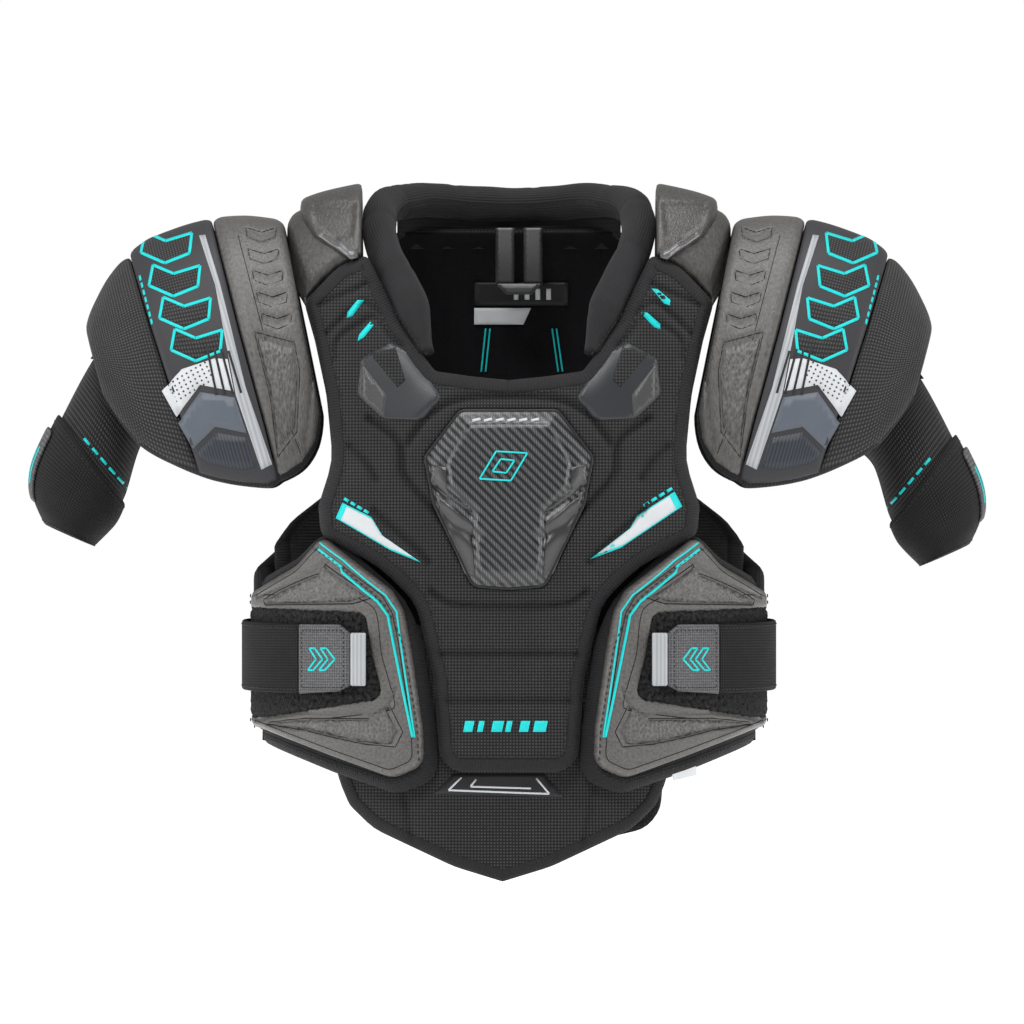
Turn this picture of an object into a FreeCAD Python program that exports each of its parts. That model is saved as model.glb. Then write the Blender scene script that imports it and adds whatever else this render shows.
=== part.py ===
"""Junior ice hockey shoulder pads: chest and back assembly, shoulder caps, bicep guards, rib guards,
extension pad, collar and torso straps. Millimetres, +Z up, -Y is the wearer's front. Names say left (-X)
and right (+X) as seen from the front. The origin is the middle of the neck opening at the height where
the yoke rests on the shoulders."""

import FreeCAD, Part

import math
import os

V = FreeCAD.Vector

# ---- driving dimensions ----------------------------------------------------------------------------

# The wearer's trunk: height, half width, front depth, back depth, then how far one millimetre of
# padding moves the section up and out. The trunk is straight below the chest, and the rows above
# TRUNK_STRAIGHT_ROWS are doubled by smooth interpolation.
TRUNK = [
    (-370, 118, 88, 84, 0.0, 1.0),
    (-190, 118, 88, 84, 0.0, 1.0),
    (-150, 118.5, 87, 87, 0.0, 1.0),
    (-110, 119, 83, 90, 0.0, 1.0),
    (-70, 121, 74, 88, 0.05, 1.0),
    (-35, 125, 61, 79, 0.2, 0.95),
    (-10, 124, 48, 67, 0.5, 0.85),
    (5, 114, 38, 56, 0.8, 0.65),
    (14, 93, 28, 45, 0.95, 0.45),
    (20, 60, 16, 30, 1.0, 0.3),
]
TRUNK_STRAIGHT_ROWS = 2
ROUNDNESS = 2.4  # exponent of the trunk's superellipse
SECTION_POINTS = 28

# Padding layers, as distances out from the trunk.
GAP = 0.3
LINER = 2.5
CORE = 8.7  # outside of the chest's inner foam
EXTENSION = 7.8
PANEL = 21.0  # outside of the chest panel
PLATE_SEAT = 16.0
PLATE = 26.0
FILM = 1.2
RIB_PAD_INNER = 10.4
RIB_PAD = 18.0
RIB_SHELL = 24.0
LOOP_TAPE = 1.6
HOOK_TAPE = 1.2
STRAP = 2.0
TAB = 2.6
BACK_PANEL = 12.0
BACK_PLATE = 19.0
SCAPULA_PAD = 17.5
WING_PAD = 21.0
LUMBAR_PAD = 19.0
YOKE_LINER = 4.0
BRIDGE_BASE = 15.0
BRIDGE_BLOCK = 20.0

# Torso strap.
STRAP_HEIGHT = 38.0
STRAP_Z = -222.0
STRAP_PIVOT_Y = 50.0
TAB_OUTER_X = 113.5
TAB_INNER_X = 86.0
TIP_INNER_X = 77.0

# Collar roll: centre line from the front end, over the shoulder, to the middle of the back.
ROLL_RADIUS = 10.0
ROLL_PATH = [
    (46, -77, -58),
    (49, -72, -45),
    (54, -64, -28),
    (62, -52, -12),
    (68, -37, 2),
    (70.5, -20, 14),
    (69.5, 0, 23),
    (63, 24, 28),
    (48, 44, 28),
    (26, 55, 26),
    (0, 58, 25),
]
ROLL_FRONT_TOP = 1.5  # height of the front rolls' upper cut
ROLL_SIDE_BACK = 8  # index in ROLL_PATH where the side roll ends and the back roll starts

# Shoulder cap stations, from the neck outwards: ridge (x, z), lower edge (x, z), half depth.
CAP_STATIONS = [
    ((124.5, 17), (101, -100), 74),
    ((145, 19.5), (111, -126), 79),
    ((167, 17.5), (123, -130), 82),
    ((187, 11.5), (147, -131), 82),
    ((205.5, 2), (170, -124), 79),
    ((222, -16), (196, -112), 72),
    ((234, -40), (222, -82), 62),
]
CAP_ROUNDNESS = 2.3
CAP_OVERRUN = 1.06  # the stations run past the cap's edge, which the outline then trims
CAP_THICK = 12.0
CAP_LINER = 4.0
CAP_SEAM_INNER = ((167.5, 30), (121.5, -140))  # between the moulded and the smooth panel
CAP_SEAM_OUTER = ((210, 20), (166, -135))  # between the smooth and the woven panel

# Bicep guards: flattened tubes round the arm. Each section runs from an outer edge point (x, z) to an
# inner edge point (x, z), with a half depth.
BICEP_PAD_STATIONS = [
    ((225, -53), (190, -96), 37),
    ((234, -67.5), (203, -108), 39),
    ((246, -90), (211, -134), 41),
    ((258, -116), (219, -148), 42),
    ((260, -134), (228, -158), 40),
]
BICEP_STRAP_STATIONS = [
    ((247, -91), (213, -138), 41.5),
    ((259, -117), (218.5, -149), 42.3),
    ((261, -136), (228, -159), 40.3),
    ((254, -152), (231, -162), 36),
]
BICEP_PAD = 8.0
BICEP_STRAP = 2.0
BICEP_TAB = 1.8
BICEP_TAB_GAP = 1.4
BICEP_ROUNDNESS = 2.3
BICEP_TAB_OUTLINE = [(238, -84, 0), (256, -84, 0), (280, -125, 0), (262, -128, 0), (246, -104, 0)]
BICEP_TAB_Y = 24.0
BICEP_SHIFT = {"left": (0.0, 0.0), "right": (-2.0, -11.0)}
BICEP_LINK = ((203.5, -14.5), (222, -49), (230, -60))  # webbing from the cap's lining to the guard's outside

HANGER_TOP = 13.5
HANGER_Y = 46.6

FAR = 400.0
SIDES = {"left": -1, "right": 1}


# ---- geometry helpers ------------------------------------------------------------------------------


def rounded_wire(points):
    """A closed wire in the XZ plane through (x, z, corner radius)."""
    n = len(points)
    starts, ends, mids = [], [], []
    for i, (x, z, radius) in enumerate(points):
        here = V(x, 0, z)
        before = V(points[i - 1][0], 0, points[i - 1][1]) - here
        after = V(points[(i + 1) % n][0], 0, points[(i + 1) % n][1]) - here
        half = before.getAngle(after) / 2
        bent = radius > 0 and half < 1.56
        reach = min(radius / math.tan(half), 0.49 * before.Length, 0.49 * after.Length) if bent else 0
        before.normalize()
        after.normalize()
        starts.append(here + before * reach)
        ends.append(here + after * reach)
        if bent:
            bisector = before + after
            bisector.normalize()
            fitted = reach * math.tan(half)
            mids.append(here + bisector * (fitted / math.sin(half) - fitted))
        else:
            mids.append(None)
    edges = []
    for i in range(n):
        if mids[i]:
            edges.append(Part.Arc(starts[i], mids[i], ends[i]).toShape())
        following = starts[(i + 1) % n]
        if (following - ends[i]).Length > 1e-4:
            edges.append(Part.LineSegment(ends[i], following).toShape())
    return Part.Wire(edges)


def prism(points, y_low, y_high):
    """The outline in the XZ plane, extruded from y_low to y_high."""
    face = Part.Face(rounded_wire(points))
    face.translate(V(0, y_low, 0))
    return face.extrude(V(0, y_high - y_low, 0))


def both_halves(points):
    """A left-right symmetric outline from its +X half, which starts and ends at x = 0."""
    mirrored = [(-x, z, r) for x, z, r in reversed(points) if x > 0]
    return list(points) + mirrored


def box(x_low, x_high, y_low, y_high, z_low, z_high):
    return Part.makeBox(x_high - x_low, y_high - y_low, z_high - z_low, V(x_low, y_low, z_low))


def mirrored(shape):
    return shape.mirror(V(0, 0, 0), V(1, 0, 0))


def on_side(shape, side):
    """A shape modelled at +X, moved to its side."""
    return shape if SIDES[side] > 0 else mirrored(shape)


def signed_power(value, power):
    return math.copysign(abs(value) ** power, value)


def trunk_section(level, out):
    """The trunk's outline at one height, with that much padding on it."""
    z, half_width, front, back, up, wide = level
    points = []
    for i in range(SECTION_POINTS):
        angle = 2 * math.pi * i / SECTION_POINTS
        depth = front if math.sin(angle) < 0 else back
        x = (half_width + wide * out) * signed_power(math.cos(angle), 2 / ROUNDNESS)
        y = (depth + wide * out) * signed_power(math.sin(angle), 2 / ROUNDNESS)
        points.append(V(x, y, z + up * out))
    curve = Part.BSplineCurve()
    curve.interpolate(Points=points, Parameters=list(range(SECTION_POINTS + 1)), PeriodicFlag=True)
    return Part.Wire([curve.toShape()])


def trunk_levels():
    """The trunk's rows with a smooth middle row put between each two above the straight part."""
    levels = list(TRUNK[: TRUNK_STRAIGHT_ROWS - 1])
    last = len(TRUNK) - 1
    for i in range(TRUNK_STRAIGHT_ROWS - 1, last):
        before, low, high, after = TRUNK[i - 1], TRUNK[i], TRUNK[i + 1], TRUNK[min(i + 2, last)]
        if i == TRUNK_STRAIGHT_ROWS - 1:
            before = (2 * low[0] - high[0],) + low[1:]
        levels.append(low)
        levels.append(tuple((9 * (b + c) - (a + d)) / 16 for a, b, c, d in zip(before, low, high, after)))
    levels.append(TRUNK[last])
    return levels


_trunks = {}


def trunk(out):
    """The trunk with that much padding all round, as a solid."""
    if out not in _trunks:
        _trunks[out] = Part.makeLoft([trunk_section(level, out) for level in trunk_levels()], True, True)
    return _trunks[out]


def layer(outline, inner, outer, y_low=-FAR, y_high=FAR):
    """The part of the padding between two distances from the trunk that lies inside a front-view outline."""
    block = prism(outline, y_low, y_high)
    return block.common(trunk(outer)).cut(trunk(inner))


def front_layer(outline, inner, outer):
    return layer(outline, inner, outer, y_high=0.0)


def back_layer(outline, inner, outer):
    return layer(outline, inner, outer, y_low=0.0)


# ---- front -----------------------------------------------------------------------------------------

NECKLINE = [(0, -73, 0), (20, -71, 40), (41, -68, 6)]
CHEST_OUTLINE = NECKLINE + [
    (50, -56, 12),
    (60.5, -40, 40),
    (74.5, -12, 60),
    (78.5, -4, 3),
    (90, -8.5, 20),
    (104, -26, 6),
    (101.5, -50, 60),
    (96.5, -84, 80),
    (94.5, -116, 40),
    (102, -141, 8),
    (101, -157, 9),
    (71, -172.5, 60),
    (50, -193, 30),
    (40, -235, 60),
    (36.5, -285, 13),
    (0, -285, 0),
]
LINER_OUTLINE = NECKLINE + [
    (52, -57, 12),
    (76, -16, 40),
    (90, -14, 10),
    (99, -32, 6),
    (92, -100, 60),
    (96, -150, 20),
    (86, -190, 20),
    (84, -282, 20),
    (0, -282, 0),
]
CORE_OUTLINE = [
    (0, -80, 0),
    (44, -75, 12),
    (78, -20, 20),
    (92, -32, 8),
    (86, -110, 40),
    (92, -150, 10),
    (55, -178, 20),
    (40, -190, 10),
    (0, -190, 0),
]
BINDING_WIDTH = 6.0
STERNUM_OUTLINE = [
    (0, -88, 0),
    (27, -88, 6),
    (46.5, -114, 6),
    (41.5, -140, 16),
    (20, -185, 7),
    (0, -186.5, 0),
]
COLLARBONE_OUTLINE = [
    (81, -60, 3),
    (64, -51, 6),
    (54, -56, 8),
    (37, -81, 5),
    (45, -94, 5),
    (69, -93, 6),
    (83, -80, 4),
]
RIB_OUTLINE = [
    (106, -157, 5),
    (118, -169, 20),
    (142, -182, 20),
    (165, -190, 0),
    (165, -264, 0),
    (136, -272, 10),
    (100, -285.5, 60),
    (64, -297, 14),
    (42, -289, 12),
    (43, -262, 40),
    (50.5, -215, 40),
    (60, -192, 40),
    (92, -165, 30),
]
RIB_SHELL_OUTLINE = [
    (106, -166, 4),
    (118, -176, 16),
    (142, -189, 20),
    (162, -196, 0),
    (162, -258, 0),
    (136, -264, 10),
    (98, -277, 60),
    (66, -288, 12),
    (52, -281, 10),
    (52, -262, 40),
    (60, -215, 40),
    (68, -197, 30),
]
LOOP_OUTLINE = [
    (79, -199, 6),
    (160, -196, 0),
    (160, -256, 0),
    (138, -257, 10),
    (69, -246, 6),
    (75, -222, 20),
]
EXTENSION_OUTLINE = [
    (0, -207, 0),
    (82, -207, 10),
    (91.5, -284, 40),
    (83, -304, 12),
    (70, -316.5, 30),
    (26, -337, 60),
    (0, -345, 0),
]


EXTENSION_OFFSET = -3.5  # the pad sits a little to the wearer's right


def ring_width(outline, width):
    """The chest outline's face, shrunk by the binding's width."""
    wire = rounded_wire(outline)
    return Part.Face(wire.makeOffset2D(-width))


def chest():
    outline = both_halves(CHEST_OUTLINE)
    whole = front_layer(outline, CORE + GAP, PANEL)
    inner_face = ring_width(outline, BINDING_WIDTH)
    inner_face.translate(V(0, -FAR, 0))
    inner_block = inner_face.extrude(V(0, FAR, 0))
    seat = front_layer(both_halves(grown(STERNUM_OUTLINE, 1.01)), PLATE_SEAT, PLATE)
    sternum = front_layer(both_halves(STERNUM_OUTLINE), PLATE_SEAT + 3.2, PLATE)
    sternum_foam = front_layer(both_halves(STERNUM_OUTLINE), PLATE_SEAT + 0.2, PLATE_SEAT + 3.0)
    parts = {
        "chest_liner": front_layer(both_halves(LINER_OUTLINE), 0.0, LINER),
        "chest_core_foam": front_layer(both_halves(CORE_OUTLINE), LINER + GAP, CORE),
        "chest_panel": whole.common(inner_block).cut(seat),
        "chest_binding": whole.cut(inner_block),
        "sternum_plate": sternum,
        "sternum_foam": sternum_foam,
    }
    guard = front_layer(COLLARBONE_OUTLINE, PANEL + 0.1, PANEL + 0.1 + FILM)
    for side in SIDES:
        parts["collarbone_guard_" + side] = on_side(guard, side)
    return parts


def grown(points, share):
    """An outline about its own middle, scaled by share, with the points on x = 0 kept there."""
    middle = sum(z for x, z, r in points) / len(points)
    return [(x * share, middle + (z - middle) * share, r) for x, z, r in points]


def ribs():
    parts = {}
    loop_out = RIB_SHELL + 0.1 + LOOP_TAPE
    pad = front_layer(RIB_OUTLINE, RIB_PAD_INNER, RIB_PAD)
    shell = front_layer(RIB_SHELL_OUTLINE, RIB_PAD + 0.1, RIB_SHELL)
    loop = front_layer(LOOP_OUTLINE, RIB_SHELL + 0.1, loop_out)
    for side in SIDES:
        parts["rib_pad_" + side] = on_side(pad, side)
        parts["rib_shell_" + side] = on_side(shell, side)
        parts["rib_loop_patch_" + side] = on_side(loop, side)
    return parts


def extension():
    outline = [(x + EXTENSION_OFFSET, z, r) for x, z, r in both_halves(EXTENSION_OUTLINE)]
    return {"extension_pad": front_layer(outline, LINER + GAP, EXTENSION)}


# ---- straps ----------------------------------------------------------------------------------------


def straps():
    hook_in = RIB_SHELL + 0.1 + LOOP_TAPE + GAP
    strap_in = hook_in + HOOK_TAPE + 0.2
    low, high = STRAP_Z - STRAP_HEIGHT / 2, STRAP_Z + STRAP_HEIGHT / 2

    def band(x_low, x_high, y_low, y_high, inner, outer, inset=0.0):
        block = box(x_low, x_high, y_low, y_high, low + inset, high - inset)
        return block.common(trunk(outer)).cut(trunk(inner))

    strap = band(TAB_OUTER_X + 0.4, FAR, -FAR, STRAP_PIVOT_Y - 0.4, strap_in, strap_in + STRAP)
    tab = band(TAB_INNER_X, TAB_OUTER_X, -FAR, 0, strap_in, strap_in + TAB)
    tip = band(TIP_INNER_X, TAB_INNER_X - 0.1, -FAR, 0, strap_in + 0.4, strap_in + STRAP, 3.0)
    hook = band(TAB_INNER_X + 2, TAB_OUTER_X - 2, -FAR, 0, hook_in, hook_in + HOOK_TAPE, 3.0)
    anchor = band(88.0, FAR, STRAP_PIVOT_Y - 12.0, FAR, WING_PAD + 0.1, strap_in - GAP, 1.0)
    parts = {}
    for side in SIDES:
        parts["torso_strap_" + side] = on_side(strap, side)
        parts["strap_tab_" + side] = Part.makeCompound([on_side(tab, side), on_side(tip, side)])
        parts["strap_hook_patch_" + side] = on_side(hook, side)
        parts["strap_anchor_" + side] = on_side(anchor, side)
    return parts


# ---- back ------------------------------------------------------------------------------------------

BACK_OUTLINE = [
    (0, 12, 0),
    (66, 12, 8),
    (79, -8, 6),
    (105, -27, 6),
    (102, -60, 60),
    (96, -105, 40),
    (97, -128, 20),
    (124, -149, 30),
    (139, -174, 20),
    (165, -190, 0),
    (165, -264, 0),
    (120, -272, 20),
    (80, -292, 20),
    (0, -296, 0),
]
BACK_LINER_OUTLINE = [
    (0, 11, 0),
    (64, 11, 8),
    (78, -11, 6),
    (101, -29, 6),
    (92, -105, 60),
    (98, -150, 20),
    (112, -190, 20),
    (112, -284, 10),
    (0, -290, 0),
]
SPINE_OUTLINE = [(0, -14, 0), (20, -14, 6), (26, -50, 30), (19, -120, 60), (24, -196, 8), (0, -200, 0)]
SCAPULA_OUTLINE = [
    (30, -18, 8),
    (68, -20, 12),
    (92, -44, 12),
    (88, -110, 30),
    (80, -158, 14),
    (32, -176, 12),
    (26, -120, 60),
    (33, -60, 60),
]
WING_OUTLINE = [(106, -160, 10), (136, -182, 30), (165, -196, 0), (165, -260, 0), (112, -268, 14), (100, -225, 60)]
LABEL_OUTLINE = [(-19, -17, 1), (33, -17, 1), (33, -29, 1), (-19, -29, 1)]
LUMBAR_OUTLINE = [(0, -206, 0), (78, -204, 10), (92, -250, 60), (86, -318, 18), (0, -338, 0)]
WING_FRONT_Y = 6.0  # the back panel's wings end here, just behind the rib guards


def back():
    wing = layer(WING_OUTLINE, BACK_PANEL + 0.1, WING_PAD, y_low=WING_FRONT_Y + 4)
    scapula = back_layer(SCAPULA_OUTLINE, BACK_PANEL + 0.1, SCAPULA_PAD)
    parts = {
        "back_liner": layer(both_halves(BACK_LINER_OUTLINE), 0.0, LINER, y_low=WING_FRONT_Y),
        "back_panel": layer(both_halves(BACK_OUTLINE), LINER + GAP, BACK_PANEL, y_low=WING_FRONT_Y),
        "spine_plate": back_layer(both_halves(SPINE_OUTLINE), BACK_PANEL + 0.1, BACK_PLATE),
        "lumbar_pad": back_layer(both_halves(LUMBAR_OUTLINE), BACK_PANEL + GAP, LUMBAR_PAD),
        "size_label": back_layer(LABEL_OUTLINE, -0.7, -0.1),
    }
    for side in SIDES:
        parts["side_wing_" + side] = on_side(wing, side)
        parts["scapula_pad_" + side] = on_side(scapula, side)
    return parts


# ---- shoulders -------------------------------------------------------------------------------------

BRIDGE_OUTLINE = [
    (81, -2.5, 3),
    (91, -6, 20),
    (106.5, -21, 4),
    (114, -6, 20),
    (122, 16, 4),
    (122, 70, 0),
    (81, 70, 0),
]
BRIDGE_BLOCK_OUTLINE = [(81, -2, 3), (86, -6, 3), (107, 8, 5), (115.5, 24, 5), (115.5, 70, 0), (81, 70, 0)]


def shoulders():
    liner = layer(BRIDGE_OUTLINE, 0.0, YOKE_LINER)
    base = layer(BRIDGE_OUTLINE, YOKE_LINER + GAP, BRIDGE_BASE)
    block = layer(BRIDGE_BLOCK_OUTLINE, BRIDGE_BASE + 0.1, BRIDGE_BLOCK)
    parts = {}
    for side in SIDES:
        parts["yoke_liner_" + side] = on_side(liner, side)
        parts["shoulder_bridge_" + side] = on_side(base, side)
        parts["bridge_block_" + side] = on_side(block, side)
    return parts


def roll_tube(points):
    """A padded roll through these centre points, lofted from circles square to the line."""
    line = Part.BSplineCurve()
    line.interpolate(Points=[V(*p) for p in points])
    wires = []
    steps = 2 * (len(points) - 1)
    for i in range(steps + 1):
        at = line.FirstParameter + (line.LastParameter - line.FirstParameter) * i / steps
        tangent = line.tangent(at)[0]
        wires.append(Part.Wire([Part.Circle(line.value(at), tangent, ROLL_RADIUS).toShape()]))
    return Part.makeLoft(wires, True, False)


def chest_opening_edge():
    """The chest panel's front-view block with a small clearance, for trimming the collar against it."""
    face = ring_width(both_halves(CHEST_OUTLINE), -0.4)
    face.translate(V(0, -FAR, 0))
    return face.extrude(V(0, FAR, 0))


def collar():
    front_points = ROLL_PATH[: ROLL_SIDE_BACK - 2]
    side_points = ROLL_PATH[2 : ROLL_SIDE_BACK + 1]
    back_half = ROLL_PATH[ROLL_SIDE_BACK - 1 :]
    back_points = back_half + [(-x, y, z) for x, y, z in reversed(back_half[:-1])]
    below = box(0, FAR, -FAR, FAR, -FAR, ROLL_FRONT_TOP)
    above = box(0, FAR, -FAR, FAR, ROLL_FRONT_TOP + 1.0, FAR)
    front = roll_tube(front_points).common(below)
    seam = ROLL_PATH[ROLL_SIDE_BACK]
    before = ROLL_PATH[ROLL_SIDE_BACK - 1]
    along = V(*seam) - V(*before)
    along.normalize()
    front = front.cut(chest_opening_edge())
    side_roll = roll_tube(side_points).common(above)
    middle = (V(*seam) + V(*before)) * 0.5
    side_roll = side_roll.cut(half_space(middle - along * 0.3, along))
    back_roll = roll_tube(back_points)
    for sign in (1, -1):
        flip = V(sign * along.x, along.y, along.z)
        at = V(sign * middle.x, middle.y, middle.z)
        back_roll = back_roll.cut(half_space(at + flip * 0.3, flip * -1))
    parts = {"collar_back_roll": back_roll}
    for side in SIDES:
        parts["collar_front_roll_" + side] = on_side(front, side)
        parts["collar_side_roll_" + side] = on_side(side_roll, side)
    return parts


def half_space(point, normal):
    """A large block on the side of the plane that the normal points to."""
    size = 120.0
    block = Part.makeBox(2 * size, 2 * size, size, V(-size, -size, 0))
    block.Placement = FreeCAD.Placement(point, FreeCAD.Rotation(V(0, 0, 1), normal))
    return block


# ---- shoulder caps ---------------------------------------------------------------------------------

CAP_OUTLINE = [
    (125, 60, 0),
    (125, 18, 4),
    (108.5, -26, 40),
    (103, -66, 60),
    (103.5, -106, 24),
    (130, -129, 26),
    (158, -127, 60),
    (202, -108, 40),
    (228, -72, 30),
    (238, -44, 6),
    (275, -40, 0),
    (275, 60, 0),
]


def cap_curve(station, inset):
    """Points of the cap's U-shaped section at a station, inset from its outside."""
    (rx, rz), (bx, bz), deep = station
    ridge = V(rx, 0, rz)
    down = (V(bx, 0, bz) - ridge) * CAP_OVERRUN
    high = down.Length - inset
    down.normalize()
    points = []
    steps = 16
    for i in range(steps + 1):
        angle = math.pi * (i / steps - 0.5)
        y = (deep - inset) * signed_power(math.sin(angle), 2 / CAP_ROUNDNESS)
        drop = inset + high * (1 - signed_power(math.cos(angle), 2 / CAP_ROUNDNESS))
        if i in (0, steps):
            drop = inset + high
        points.append(ridge + down * drop + V(0, y, 0))
    return points


def cap_band(inner, outer):
    """The cap between two distances from its inside, before its edge is trimmed."""
    wires = []
    for station in CAP_STATIONS:
        outside = cap_curve(station, CAP_THICK - outer)
        inside = cap_curve(station, CAP_THICK - inner)
        over, under = Part.BSplineCurve(), Part.BSplineCurve()
        over.interpolate(Points=outside, Parameters=list(range(len(outside))))
        under.interpolate(Points=inside, Parameters=list(range(len(inside))))
        wires.append(
            Part.Wire(
                [
                    over.toShape(),
                    Part.LineSegment(outside[-1], inside[-1]).toShape(),
                    under.toShape(),
                    Part.LineSegment(inside[0], outside[0]).toShape(),
                ]
            )
        )
    return Part.makeLoft(wires, True, False)


def beside(seam, inner_side):
    """A prism on the neck side, or the arm side, of a seam line of the cap."""
    (tx, tz), (bx, bz) = seam
    reach = -120.0 if inner_side else 160.0
    return prism([(tx, tz, 0), (bx, bz, 0), (bx + reach, bz, 0), (tx + reach, tz, 0)], -FAR, FAR)


def shifted(seam, by):
    return tuple((x + by, z) for x, z in seam)


def caps():
    edge = prism(CAP_OUTLINE, -FAR, FAR)
    shell = cap_band(CAP_LINER + GAP, CAP_THICK).common(edge)
    moulded = shell.common(beside(CAP_SEAM_INNER, True))
    woven = shell.common(beside(shifted(CAP_SEAM_OUTER, 0.3), False))
    smooth = shell.cut(beside(shifted(CAP_SEAM_INNER, 0.3), True)).cut(beside(CAP_SEAM_OUTER, False))
    liner = cap_band(0.0, CAP_LINER).common(edge)
    parts = {}
    for side in SIDES:
        parts["cap_liner_" + side] = on_side(liner, side)
        parts["cap_moulded_panel_" + side] = on_side(moulded, side)
        parts["cap_smooth_panel_" + side] = on_side(smooth, side)
        parts["cap_woven_panel_" + side] = on_side(woven, side)
    return parts


# ---- bicep guards ----------------------------------------------------------------------------------


def oval_section(station, extra):
    """A guard's section as a closed curve, with that much added all round."""
    (ax, az), (bx, bz), deep = station
    middle = V((ax + bx) / 2, 0, (az + bz) / 2)
    across = V((ax - bx) / 2, 0, (az - bz) / 2)
    wide = across.Length + extra
    across.normalize()
    points = []
    for i in range(20):
        angle = 2 * math.pi * i / 20
        x = wide * signed_power(math.cos(angle), 2 / BICEP_ROUNDNESS)
        y = (deep + extra) * signed_power(math.sin(angle), 2 / BICEP_ROUNDNESS)
        points.append(middle + across * x + V(0, y, 0))
    curve = Part.BSplineCurve()
    curve.interpolate(Points=points, Parameters=list(range(len(points) + 1)), PeriodicFlag=True)
    return Part.Wire([curve.toShape()])


def oval_ring(stations, inner, outer):
    """A tube wall between two distances from the guard's outside, over these stations."""
    shapes = []
    for extra in (outer, inner):
        shapes.append(Part.makeLoft([oval_section(s, extra) for s in stations], True, True))
    return shapes[0].cut(shapes[1])


def moved_stations(stations, side):
    dx, dz = BICEP_SHIFT[side]
    return [((a[0] + dx, a[1] + dz), (b[0] + dx, b[1] + dz), deep) for a, b, deep in stations]


def webbing(points, thickness, width):
    """A flat band along a path in the XZ plane, centred on y = 0."""
    shapes = []
    for (ax, az), (bx, bz) in zip(points, points[1:]):
        start, end = V(ax, 0, az), V(bx, 0, bz)
        piece = Part.makeBox(thickness, width, (end - start).Length + thickness / 2)
        piece.translate(V(-thickness / 2, -width / 2, 0))
        piece.Placement = FreeCAD.Placement(start, FreeCAD.Rotation(V(0, 0, 1), end - start)).multiply(piece.Placement)
        shapes.append(piece)
    return shapes[0].fuse(shapes[1:]).removeSplitter()


def biceps():
    parts = {}
    for side in SIDES:
        dx, dz = BICEP_SHIFT[side]
        pad_stations = moved_stations(BICEP_PAD_STATIONS, side)
        strap_stations = moved_stations(BICEP_STRAP_STATIONS, side)
        pad = oval_ring(pad_stations, -BICEP_PAD, 0.0)
        pad = pad.cut(box(0, 214 + dx, 8.0, FAR, -FAR, FAR))
        strap = oval_ring(strap_stations, 0.3, 0.3 + BICEP_STRAP)
        tab_inner = BICEP_STRAP + BICEP_TAB_GAP
        tab = oval_ring(strap_stations, tab_inner, tab_inner + BICEP_TAB)
        outline = [(x + dx, z + dz, r) for x, z, r in BICEP_TAB_OUTLINE]
        tab = tab.common(prism(outline, -BICEP_TAB_Y, BICEP_TAB_Y))
        ends = [BICEP_LINK[0]] + [(x + dx, z + dz) for x, z in BICEP_LINK[1:]]
        link = webbing(ends, 2.0, 34.0).cut(oval_ring(pad_stations, -BICEP_PAD, 0.2))
        for name, shape in (("pad", pad), ("strap", strap), ("tab", tab), ("link", link)):
            parts["bicep_" + name + "_" + side] = on_side(shape, side)
    return parts


# ---- hanger loop -----------------------------------------------------------------------------------


def hanger():
    """Two flat ribbon legs side by side, joined by a turned fold at the bottom."""
    middle, half_width, spread, thick, y = 5.5, 5.3, 7.8, 0.8, HANGER_Y
    low = HANGER_TOP - 31.0
    legs = []
    for sign in (-1, 1):
        centre = middle + sign * spread
        legs.append(box(centre - half_width, centre + half_width, y, y + thick, low, HANGER_TOP))
    reach = spread + half_width
    corners = [(-reach, low, 0), (reach, low, 0), (reach - 6, low - 6, 2), (6 - reach, low - 6, 2)]
    fold = prism([(middle + x, z, r) for x, z, r in corners], y, y + thick)
    return {"hanger_loop": legs[0].fuse([legs[1], fold]).removeSplitter()}


def main():
    os.makedirs("parts", exist_ok=True)
    parts = {}
    for make in (chest, ribs, extension, straps, back, shoulders, collar, caps, biceps, hanger):
        parts.update(make())
    for name, shape in sorted(parts.items()):
        if not shape.isValid() or not shape.Solids:
            print("BAD", name, shape.isValid(), len(shape.Solids))
        shape.exportStep(os.path.join("parts", name + ".step"))
    print(len(parts), "nodes")


main()
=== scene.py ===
"""Looks of the junior hockey shoulder pads: every padded panel, binding, tape, roll, plate and label is
built here over the same body form as the CAD part. Lengths are millimetres until a mesh is made; front
is -Y, up is +Z, left is -X. Panels are height fields over the wearer's trunk, the shoulder caps and the
arm guards: a top and a bottom height over an outline, measured out from the form."""

import math

import bmesh
import bpy
import numpy as np
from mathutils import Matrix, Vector
from mathutils.geometry import delaunay_2d_cdt


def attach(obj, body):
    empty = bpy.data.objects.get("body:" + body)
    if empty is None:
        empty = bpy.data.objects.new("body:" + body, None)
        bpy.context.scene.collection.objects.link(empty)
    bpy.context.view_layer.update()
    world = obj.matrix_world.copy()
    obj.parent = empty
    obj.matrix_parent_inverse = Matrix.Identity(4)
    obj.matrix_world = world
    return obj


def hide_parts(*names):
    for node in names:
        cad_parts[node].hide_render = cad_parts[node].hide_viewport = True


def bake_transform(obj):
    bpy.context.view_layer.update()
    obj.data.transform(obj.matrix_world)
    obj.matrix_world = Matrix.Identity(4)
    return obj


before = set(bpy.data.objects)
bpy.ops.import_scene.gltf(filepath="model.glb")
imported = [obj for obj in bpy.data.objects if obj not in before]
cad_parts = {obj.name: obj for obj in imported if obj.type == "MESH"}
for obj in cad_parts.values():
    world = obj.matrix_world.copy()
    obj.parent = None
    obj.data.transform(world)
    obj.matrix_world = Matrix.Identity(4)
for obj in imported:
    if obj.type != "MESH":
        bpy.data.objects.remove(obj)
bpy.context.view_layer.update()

SIDES = {"left": -1, "right": 1}

# ---- the forms that everything lies on -------------------------------------------------------------

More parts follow.
